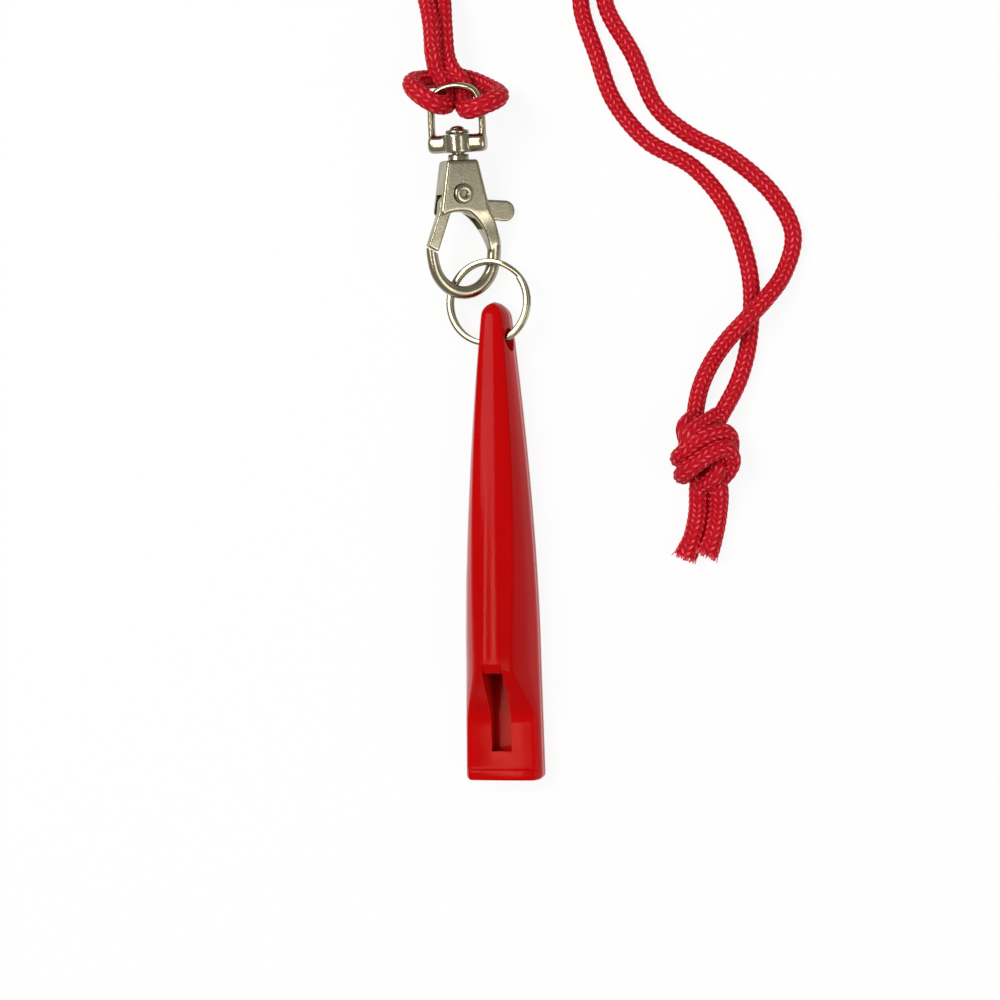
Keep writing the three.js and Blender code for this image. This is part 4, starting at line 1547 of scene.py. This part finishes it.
    def loop(self) -> bpy.types.Object:
        """Make the swivel bar with its lug and its arched loop.

        Returns:
            The loop.
        """
        wide, high, deep = self.bar_size
        middle = (self.bar_low + self.bar_high) / 2
        shares = [k / 32 for k in range(33)]
        reach = np.array([(mix(-wide / 2, wide / 2, t), middle, 0.0) for t in shares])
        section = squircle((high / 2, deep / 2), self.bar_power, sides=32)
        bar = sweep("bar", reach, section, self.level, swell=self.bar_girth)
        round_lug = (self.lug_radius, self.lug_radius)
        lug = round_bar("lug", (0, self.bar_low, 0), (0, self.bar_high, 0), round_lug, self.level)
        side = (wide - self.arch_wire) / 2
        rows = [(-side, self.bar_low + 0.8, 0)]
        rows += [(-side * x, self.bar_high + self.arch_height * y, 0) for x, y in self.arch_shape]
        mirrored = [(-x, y, z) for x, y, z in rows[::-1]]
        path = even(catmull([*rows, (0, self.arch_top, 0), *mirrored]), step=0.25)
        section = ellipse(self.arch_wire / 2, self.arch_depth, sides=20)
        arch = sweep("arch", path, section, self.level)
        piece = join("swivel_bow", [bar, lug, arch])
        cast(piece, self.skin, rounds=4)
        bore = self.post_radius + self.running_gap
        low, high = self.bar_low - 3, self.bar_high + 1.5
        hole = round_bar("hole", (0, low, 0), (0, high, 0), (bore, bore), self.level)
        carve(piece, [hole])
        crisp(piece, angle=45)
        return piece

    def build(self) -> list[bpy.types.Object]:
        """Build, dress and settle the clasp.

        Returns:
            Its pieces.
        """
        plate = self.finish.material()
        pieces = [
            (self.body(), Body.CLASP, "clasp_body"),
            (self.gate(), Body.GATE, "clasp_gate"),
            (self.rivet(), Body.CLASP, "gate_rivet"),
            (self.post(), Body.CLASP, "swivel_post"),
            (self.loop(), Body.LANYARD, "swivel_loop"),
        ]
        for piece, body, node in pieces:
            dress(piece, plate)
            settle(piece, body, [node])
        dress_node("gate_spring", self.spring_finish.material())
        return [piece for piece, _, _ in pieces]


@dataclass
class Braid:
    """Sizes of the braided cord and the way its skin is made."""

    diameter: float = 2.8
    columns: int = 10
    pitch: float = 1.1
    relief: float = 0.16
    relief_shares: Pair = (0.6, 1.15)  # sunk below the surface and taken up by the stitches
    sides: int = 30
    step: float = 0.26

    def height(self, across: np.ndarray, along: np.ndarray) -> np.ndarray:
        """Return the height of the stitches, from 0 to 1.

        Args:
            across: Place round the cord, in columns.
            along: Place along the cord, in pitches.

        Returns:
            Heights of the same shape.
        """
        column = np.floor(across)
        inside = across - column
        side = np.where(column % 2 == 0, STITCH_SLANT, -STITCH_SLANT)
        stitch = np.abs(np.sin(np.pi * (along + side * (inside - 0.5)))) ** STITCH_POWER
        return stitch * np.abs(np.sin(np.pi * inside)) ** CROWN_POWER

    def skin(
        self, name: str, path: np.ndarray, shape: Callable[[float], float] | None = None
    ) -> bpy.types.Object:
        """Make the skin of a cord along a path.

        Args:
            name: Name of the object.
            path: Points of the centreline, in millimetres.
            shape: Size of the section at a share of the length, where it isn't even.

        Returns:
            The cord with its braid map.
        """
        line = even(path, self.step)
        _, normals, binormals = frames_along(line)
        rows, sides = len(line), self.sides
        along = np.arange(rows) * (line_length(line) / (rows - 1)) / self.pitch
        across = np.arange(sides) * self.columns / sides
        grid_u, grid_v = np.meshgrid(across, along)
        sunk, proud = self.relief_shares
        radius = self.diameter / 2 - self.relief * sunk + self.relief * proud * self.height(grid_u, grid_v)
        if shape is not None:
            radius = radius * np.array([shape(k / (rows - 1)) for k in range(rows)])[:, None]
        turn = 2 * np.pi * grid_u / self.columns
        out = np.cos(turn)[..., None] * normals[:, None, :]
        out += np.sin(turn)[..., None] * binormals[:, None, :]
        rings = (line[:, None, :] + radius[..., None] * out) * MM
        piece = tube(name, rings)
        self.chart(piece, along, rows)
        return piece

    def chart(self, piece: bpy.types.Object, along: np.ndarray, rows: int) -> None:
        """Write the map of columns and pitches that the finish reads.

        Args:
            piece: The cord.
            along: Place of each ring along the cord, in pitches.
            rows: Number of rings.
        """
        layer = piece.data.uv_layers.new(name=BRAID_MAP)
        mesh, sides = piece.data, self.sides
        for polygon in mesh.polygons:
            ids = [mesh.loops[k].vertex_index for k in polygon.loop_indices]
            places = [i % sides for i in ids]
            wraps = len(ids) == 4 and max(places) - min(places) > sides / 2
            for k, index in zip(polygon.loop_indices, ids):
                place = index % sides
                if wraps and place == 0:
                    place = sides
                layer.data[k].uv = (place * self.columns / sides, along[min(index // sides, rows - 1)])


@dataclass(frozen=True)
class FrayedEnd:
    """Loose fibres at a cut end of the cord."""

    count: int = 70
    spread: float = 1.6
    sunk: float = 0.5
    length: Pair = (0.6, 1.25)
    splay: Pair = (0.1, 0.7)
    bow: float = 0.15
    radius: float = 0.09
    lowest: float = 0.12

    def fibres(self, path: np.ndarray, seed: int) -> list[bpy.types.Object]:
        """Make the fibres beyond the end of a path.

        Args:
            path: Points of the cord's centreline, in millimetres.
            seed: Seed of the draws.

        Returns:
            The fibres.
        """
        tangent = path[-1] - path[-3]
        tangent /= np.linalg.norm(tangent)
        across = np.cross(tangent, UP)
        rise = np.cross(across, tangent)
        chance = random.Random(seed)
        section = ellipse(self.radius, self.radius, sides=5)
        made = []
        for _ in range(self.count):
            turn, share = chance.uniform(0, 2 * math.pi), math.sqrt(chance.random())
            spread = (math.cos(turn) * across + math.sin(turn) * rise) * share
            root = path[-1] + spread * self.spread - tangent * self.sunk
            end = root + tangent * chance.uniform(*self.length) + spread * chance.uniform(*self.splay)
            end[2] = max(end[2], self.lowest)
            bend = (root + end) / 2 + spread * self.bow
            made.append(sweep("fibre", catmull([root, bend, end], per_span=4), section, TO_SCENE))
        return made


@dataclass
class NeckCord:
    """Doubled neck cord: hitch on the swivel, two strands with a put-away coil, knot, tails and tie."""

    clasp: TriggerClasp
    braid: Braid = field(default_factory=Braid)
    frayed: FrayedEnd = FrayedEnd()
    step: float = 3.3
    centre: Pair = (3.0, 122.0)
    radius: float = 23.0
    turns: float = 2.5
    turn_points: int = 24
    climb_turns: float = 0.5
    tie_thickness: float = 0.5
    tie_width: float = 3.0
    tie_corner: float = 1.2
    tie_crown: Pair = (0.06, 0.25)  # rise of the middle and width of the sloping edge
    fit_gap: float = 0.3
    floor_line: float = 1.5
    leg_gap: float = 0.05
    arch_gap: float = 0.45
    leg_reach: float = 6.5
    leg_start: float = 0.6
    leg_twist: float = 5.0
    leg_crossed: Pair = (0.86, 1.12)  # sideways and in depth, where one leg lies over the other
    leg_lean: Point = (-0.8, -2.5, 2.6)  # at the arch, added above it and run of the change
    leg_sag: Pair = (4.0, 0.02)  # distance where it starts and its growth
    hitch_tilt: float = 0.22
    hitch_fullness: Pair = (0.1, 0.25)  # added girth and share of the length over which it grows
    collar_gap: float = 0.6
    knot_centre: Row = (35.0, 13.6, 4.9)
    knot_spacing: float = 1.4
    knot_girth: float = 1.06
    tail_girth: Pair = (1.14, 0.2)  # along the tail and added at the cut end
    tail_flare: float = 0.25
    finish: BraidedCord = field(default_factory=BraidedCord)
    tie_finish: WovenStrap = field(default_factory=WovenStrap)

    def __post_init__(self) -> None:
        """Work out the layers and sides of the coil."""
        self.low = self.braid.diameter / 2 + self.tie_thickness + 2 * self.fit_gap
        self.high = self.low + self.step
        self.left = self.centre[0] - self.radius
        self.right = self.centre[0] + self.radius
        self.cord = self.braid.diameter / 2
        self.leg_side = self.cord + self.leg_gap
        self.leg_depth = -(self.cord + self.clasp.arch_depth + self.arch_gap)

    def in_loop(self, x: float, y: float, z: float) -> Point:
        """Return a point of the swivel loop's frame, measured from the arch's top, in scene millimetres."""
        return tuple(self.clasp.level @ Vector((x, self.clasp.arch_top + y, z)) / MM)

    def coil(self, inset: float) -> list[Point]:
        """Return one strand's points in the coil.

        Args:
            inset: How far the strand lies inside the outer one.

        Returns:
            Points in millimetres, from the lead's side to the neck's side.
        """
        count = round(self.turn_points * self.turns)
        rows = []
        for i in range(count + 1):
            turn = self.turns * i / count
            radius = self.radius - inset - 2 * self.step * min(turn, self.turns - turn)
            climb = smooth(clamp01((turn - self.turns / 2) / self.climb_turns + 0.5))
            angle = math.pi - 2 * math.pi * turn
            x = self.centre[0] + radius * math.cos(angle)
            rows.append((x, self.centre[1] + radius * math.sin(angle), mix(self.low, self.high, climb)))
        return rows

    def leg(self, side: float, ahead: float) -> Point:
        """Return a point of a leg above the hitch, where the left one comes to lie over the right one.

        Args:
            side: -1 for the left leg and 1 for the right one.
            ahead: Distance from the arch's top.

        Returns:
            The point in scene millimetres.
        """
        above = ahead - self.leg_start
        twist = smooth(clamp01(above / self.leg_twist))
        near, more, fall = self.leg_lean
        lean = near + more * (1 - math.exp(-max(0.0, above) / fall))
        across, apart = self.leg_crossed
        sag_from, sag = self.leg_sag
        x = lean + side * mix(self.leg_side, across, twist)
        z = self.leg_depth - side * apart * twist - sag * max(0.0, ahead - sag_from) ** 2
        return self.in_loop(x, ahead, z)

    def leads(self) -> list[list[Row]]:
        """Lay both leads.

        Returns:
            Points of each lead in millimetres, from the hitch to the coil.
        """
        outer, inner = ([self.leg(side, self.leg_reach + ahead) for ahead in (-0.4, 4)] for side in (-1, 1))
        outer += [(-10.6, 92.5, 5.3), (-13.7, 99.5, 2.7), (-17.7, 108, 1.8)]
        inner += [(-7.9, 92.5, 3.9), (-10.4, 99.8, 2.3), (-14.3, 108.3, 1.8)]
        for lead, inset in ((outer, 0.0), (inner, self.step)):
            lead.append((self.left + inset - 0.15, self.centre[1] - 5, self.low))
        return [outer, inner]

    def runs(self) -> list[list[Row]]:
        """Lay both runs.

        Returns:
            Points of each run in millimetres, from the coil to the knot.
        """
        y, f = self.centre[1], self.floor_line
        inner = self.right - self.step
        return [
            [
                (self.right, y - 6, self.high), (24.6, 108, 5), (21.4, 98, 2.4), (19.4, 90, f), (24.2, 80, f),
                (27.8, 71.4, f), (33, 66.6, f), (39.7, 62.6, f), (46.8, 55.8, f), (49.8, 49.3, f),
                (48.2, 43, 1.8), (45.2, 38.6, 3.7), (42, 35.2, 4.8), (38.9, 32.2, 3.8), (36, 28.6, 2),
                (34, 24.3, 1.9), (33.3, 18.9, 3.4), (33.9, 16.6, 4.2),
            ],
            [
                (inner, y - 6, self.high), (21.3, 108, 5), (17.8, 98, 2.4), (15.4, 90, f), (18, 80.5, f),
                (20.6, 73, f), (26, 66, f), (33.6, 61.2, f), (39, 54.4, f), (41.8, 47, f), (42.8, 41, f),
                (42.6, 35.5, f), (41.8, 30, f), (40.2, 25, 2), (37.2, 19.3, 3.4), (36.2, 17, 4.4),
            ],
        ]

    def strand(
        self, name: str, lead: Sequence[Row], inset: float, run: Sequence[Row]
    ) -> tuple[bpy.types.Object, np.ndarray]:
        """Make a strand of a lead, the coil and a run. Return it and the points it follows, in metres."""
        path = even(catmull([*lead, *self.coil(inset), *run], per_span=10), step=0.5)
        return self.braid.skin(name, path), path * MM

    def hitch_girth(self, share: float) -> float:
        """Return the girth of the hitch at a share of its length: fuller where it isn't pulled tight."""
        more, run = self.hitch_fullness
        return 1.0 + more * smooth(clamp01(min(share, 1 - share) / run))

    def tail_shape(self, share: float) -> float:
        """Return the girth of a tail at a share of its length: flared at its cut end."""
        even_girth, more = self.tail_girth
        return even_girth + more * smooth(clamp01((share - 1 + self.tail_flare) / self.tail_flare))

    def hitch(self) -> bpy.types.Object:
        """Make the girth hitch on the swivel's arch.

        Returns:
            The hitch.
        """
        leg, behind = self.leg_side, self.leg_depth
        collar = behind - self.braid.diameter - self.collar_gap
        # Right half of the band, from inside the arch round its side to the collar behind.
        right = [
            (leg + 0.1, -3.4, 0.2), (3, -3.5, 2.6), (5, -2.6, 2.95), (6.8, -1.4, 1.5), (7.3, -0.5, -0.9),
            (6.3, 0.1, -3.5), (4.3, 0.7, collar + 1), (2, 1.3, collar + 0.2),
        ]
        band = right + [(0, 1.5, collar)] + [(-x, y, z) for x, y, z in right[::-1]]
        band = [(leg - 0.4, -2.1, behind * 0.8), *band, (-leg - 0.4, -2.1, behind * 0.8)]
        heights = (self.leg_reach, 4.6, 2.8, self.leg_start)
        rows = [self.leg(1, ahead) for ahead in heights]
        rows += [self.in_loop(x, y - self.hitch_tilt * x, z) for x, y, z in band]
        rows += [self.leg(-1, ahead) for ahead in heights[::-1]]
        return self.braid.skin("girth_hitch", catmull(rows, per_span=10), self.hitch_girth)

    def knot(self) -> bpy.types.Object:
        """Make the overhand knot, with both strands side by side through it.

        Returns:
            The knot.
        """
        centre = np.array(self.knot_centre)
        # Middle line of the wraps, measured from the knot's centre.
        line = np.array([
            (-2.6, 3.6, 1.9), (-2.6, 0.8, 0.2), (-1.4, -2.2, -2.4), (1.6, -2.9, -2.6), (4.0, -0.6, -1.2),
            (3.6, 2.0, 1.3), (0.8, 1.4, 3.0), (-2.4, -0.8, 2.8), (-4.0, -2.0, 0.4), (-2.2, -1.2, -2.6),
            (1.0, -0.8, -1.4), (1.0, -3.6, -0.2),
        ])
        # The strands lie to both sides of the line, across the wraps.
        tangents = np.gradient(line, axis=0)
        outside = line * np.array([1.0, 0.35, 1.0])
        offset = np.cross(tangents, outside)
        offset /= np.linalg.norm(offset, axis=1)[:, None]
        pieces = []
        ends = (((-1.8, 6.2, -1.5), (-1.6, -5.4, -1.7)), ((2.2, 6.4, -1.5), (2.1, -6.0, -1.7)))
        for side, (start, stop) in zip((self.knot_spacing, -self.knot_spacing), ends):
            path = catmull([start, *(line + side * offset), stop]) + centre
            pieces.append(self.braid.skin("knot_strand", path, lambda _: self.knot_girth))
        return join("overhand_knot", pieces)

    def tail(self, name: str, rows: Sequence[Row], seed: int) -> bpy.types.Object:
        """Make one cut end with its frayed fibres.

        Args:
            name: Name of the tail.
            rows: Points from the knot to the cut.
            seed: Seed of the fibres.

        Returns:
            The tail.
        """
        path = even(catmull(rows, per_span=10), step=0.25)
        skin = self.braid.skin(name, path, self.tail_shape)
        woven = len(skin.data.loops)
        piece = join(name, [skin, *self.frayed.fibres(path, seed)])
        # The fibres aren't woven, so they all take one place on the braid's map.
        for entry in list(piece.data.uv_layers[BRAID_MAP].uv)[woven:]:
            entry.vector = (0.5, 0.5)
        return piece

    def tails(self) -> list[bpy.types.Object]:
        """Make both cut ends below the knot.

        Returns:
            The left tail and the right one.
        """
        near, middle, end = (self.floor_line + lift for lift in (0.2, 0.25, 0.5))
        left = [(34.2, 10.4, 4), (33.7, 8.2, 3.2), (33.3, 4, near), (32.4, 0, middle), (31.1, -3.2, end)]
        right = [(36.4, 10.2, 4.2), (36.9, 7.6, 3.2), (36.5, 4, near), (35.7, 0, middle), (34.6, -2.8, end)]
        return [self.tail("tail_left", left, 3), self.tail("tail_right", right, 8)]

    def tie(self) -> bpy.types.Object:
        """Make the strap round the coil, as a rounded band.

        Returns:
            The strap.
        """
        turn = self.turns / 2 - 1
        room = self.cord + self.fit_gap
        outer = self.radius - 2 * self.step * turn + room
        inner = self.radius - self.step - 2 * self.step * (turn + 1) - room
        low, high = self.low - room, self.high + room
        t, r, half = self.tie_thickness, self.tie_corner, self.tie_width / 2
        corners = [
            (outer - r, low + r, -90),
            (outer - r, high - r, 0),
            (inner + r, high - r, 90),
            (inner + r, low + r, 180),
        ]
        band = []
        for cy, cz, start in corners:
            for k in range(9):
                turn = math.radians(start + 90 * k / 8)
                band.append((cy, cz, math.cos(turn), math.sin(turn)))
        rise, edge = self.tie_crown
        flank = [(0.05, half), (t, half), (t + rise, half - edge)]
        section = [(out, -x) for out, x in flank] + flank[::-1]
        points = []
        for cy, cz, ny, nz in band:
            for out, x in section:
                y, z = cy + (r + out) * ny, cz + (r + out) * nz
                points.append(((self.centre[0] + x) * MM, (self.centre[1] + y) * MM, z * MM))
        piece = mesh_object("strap_tie", points, ring_faces(len(band), len(section), closed=True))
        outward(piece)
        return piece

    def build(self) -> list[bpy.types.Object]:
        """Build, dress and settle the cord with its two strands.

        Returns:
            Its pieces.
        """
        red = self.finish.material()
        hitch = settle(self.hitch(), Body.LANYARD, ["cord_hitch"])
        knot = settle(self.knot(), Body.LANYARD, ["cord_knot"])
        left, right = self.tails()
        settle(left, Body.LANYARD, ["cord_tail_left"])
        settle(right, Body.LANYARD, ["cord_tail_right"])
        tie = settle(self.tie(), Body.LANYARD, ["coil_tie"])
        dress(tie, self.tie_finish.material())
        for piece in (hitch, knot, left, right):
            dress(piece, red)
        pieces = [hitch, knot, left, right, tie]
        names = ("outer", "inner")
        extras = ([hitch, left, tie], [knot, right])
        for name, lead, inset, run, extra in zip(names, self.leads(), (0.0, self.step), self.runs(), extras):
            piece, path = self.strand(f"neck_strand_{name}", lead, inset, run)
            dress(piece, red)
            nodes = [f"{part}_cord_{name}" for part in ("lead", "coil", "neck")]
            settle(piece, Body.LANYARD, nodes)
            pieces.append(piece)
        return pieces


@dataclass(frozen=True)
class Lamp:
    """Soft lamp that points at the part. Its place and size are in metres, and its power in watts."""

    name: str
    place: Point
    size: Pair
    power: float
    tint: Colour = WHITE
    aim: Point = (0.0, 0.03, 0.0)

    def hang(self) -> None:
        """Hang the lamp in the scene."""
        data = bpy.data.lights.new(self.name, "AREA")
        data.shape = "RECTANGLE"
        data.size, data.size_y = self.size
        data.energy = self.power
        data.color = self.tint
        lamp = add_object(self.name, data)
        way = Vector(self.aim) - Vector(self.place)
        lamp.matrix_world = Matrix.Translation(self.place) @ way.to_track_quat("-Z", "Y").to_matrix().to_4x4()


@dataclass
class Studio:
    """Pale floor, soft lamps and a camera that looks down on the part."""

    target: Row = (-0.5, 6.8, 0.0)
    distance: float = 350.0
    sideways: float = 12.0
    roll: float = -1.2
    view_width: float = 169.5
    sensor: float = 36.0
    clip: Pair = (0.01, 10.0)
    floor_colour: Colour = (0.88, 0.88, 0.88)
    floor_glow: float = 0.9
    floor_half: float = 2.0
    world_strength: float = 0.36
    lamps: Sequence[Lamp] = (
        Lamp("key", (-0.35, 0.25, 0.75), (0.45, 0.45), 4.2),
        Lamp("fill", (0.6, -0.25, 0.6), (0.5, 0.5), 2.2),
        Lamp("ridge", (-0.2, -0.06, 0.9), (0.42, 0.12), 1.3, (1.0, 0.8, 0.62)),
    )

    def camera(self) -> None:
        """Set up the camera."""
        lean = math.radians(self.sideways)
        back = Vector((math.sin(lean), 0.0, math.cos(lean)))
        right = Vector((0.0, 1.0, 0.0)).cross(back).normalized()
        turn = Matrix((right, back.cross(right), back)).transposed().to_4x4()
        data = bpy.data.cameras.new("camera")
        data.sensor_width = self.sensor
        data.lens = self.sensor * self.distance / self.view_width
        data.clip_start, data.clip_end = self.clip
        eye = add_object("camera", data)
        place = Matrix.Translation((Vector(self.target) + back * self.distance) * MM)
        eye.matrix_world = place @ turn @ Matrix.Rotation(math.radians(self.roll), 4, "Z")
        bpy.context.scene.camera = eye

    def floor(self) -> None:
        """Lay the plain floor, which glows where it is seen and not where it lights the part."""
        half = self.floor_half
        corners = [(-half, -half, 0), (half, -half, 0), (half, half, 0), (-half, half, 0)]
        floor = mesh_object("floor", corners, [(0, 1, 2, 3)])
        sheet = NodeSheet("pale_floor")
        paler = tuple(min(1.0, c + 0.02) for c in self.floor_colour)
        colour = sheet.ramp(sheet.noise(3.0, detail=2.0), (0.0, 1.0), (self.floor_colour, paler))
        sheet.surface(Base_Color=colour, Roughness=0.7, Specular_IOR_Level=0.2)
        rays = sheet.add("ShaderNodeLightPath").outputs
        seen = sheet.math(Op.MAXIMUM, rays["Is Camera Ray"], rays["Is Glossy Ray"])
        seen = sheet.math(Op.MAXIMUM, seen, rays["Is Transmission Ray"])
        glow = sheet.add("ShaderNodeEmission", {"Color": (*WHITE, 1.0), "Strength": 1.0})
        share = sheet.math(Op.MULTIPLY, seen, self.floor_glow)
        white = sheet.add("ShaderNodeMixShader", {0: share, 1: sheet.shader.outputs[0], 2: glow.outputs[0]})
        sheet.tree.links.new(white.outputs[0], sheet.output.inputs["Surface"])
        dress(floor, sheet.material)

    def build(self) -> None:
        """Set up the floor, the lamps, the world and the camera."""
        bpy.context.scene.view_settings.view_transform = "Standard"
        self.floor()
        for lamp in self.lamps:
            lamp.hang()
        world = bpy.data.worlds.new("studio")
        world.use_nodes = True
        background = world.node_tree.nodes["Background"]
        background.inputs["Color"].default_value = (*WHITE, 1.0)
        background.inputs["Strength"].default_value = self.world_strength
        bpy.context.scene.world = world
        self.camera()


def main() -> None:
    """Build every sub-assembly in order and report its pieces."""
    logging.basicConfig(level=logging.INFO, format="%(name)s: %(message)s")
    Studio().build()
    clasp = TriggerClasp()
    assemblies: list[SubAssembly] = [NeckCord(clasp), clasp, SplitRing(), Whistle()]
    for assembly in assemblies:
        for piece in assembly.build():
            LOG.info("%s: %s with %d faces", type(assembly).__name__, piece.name, len(piece.data.polygons))


if __name__ == "__main__":
    main()
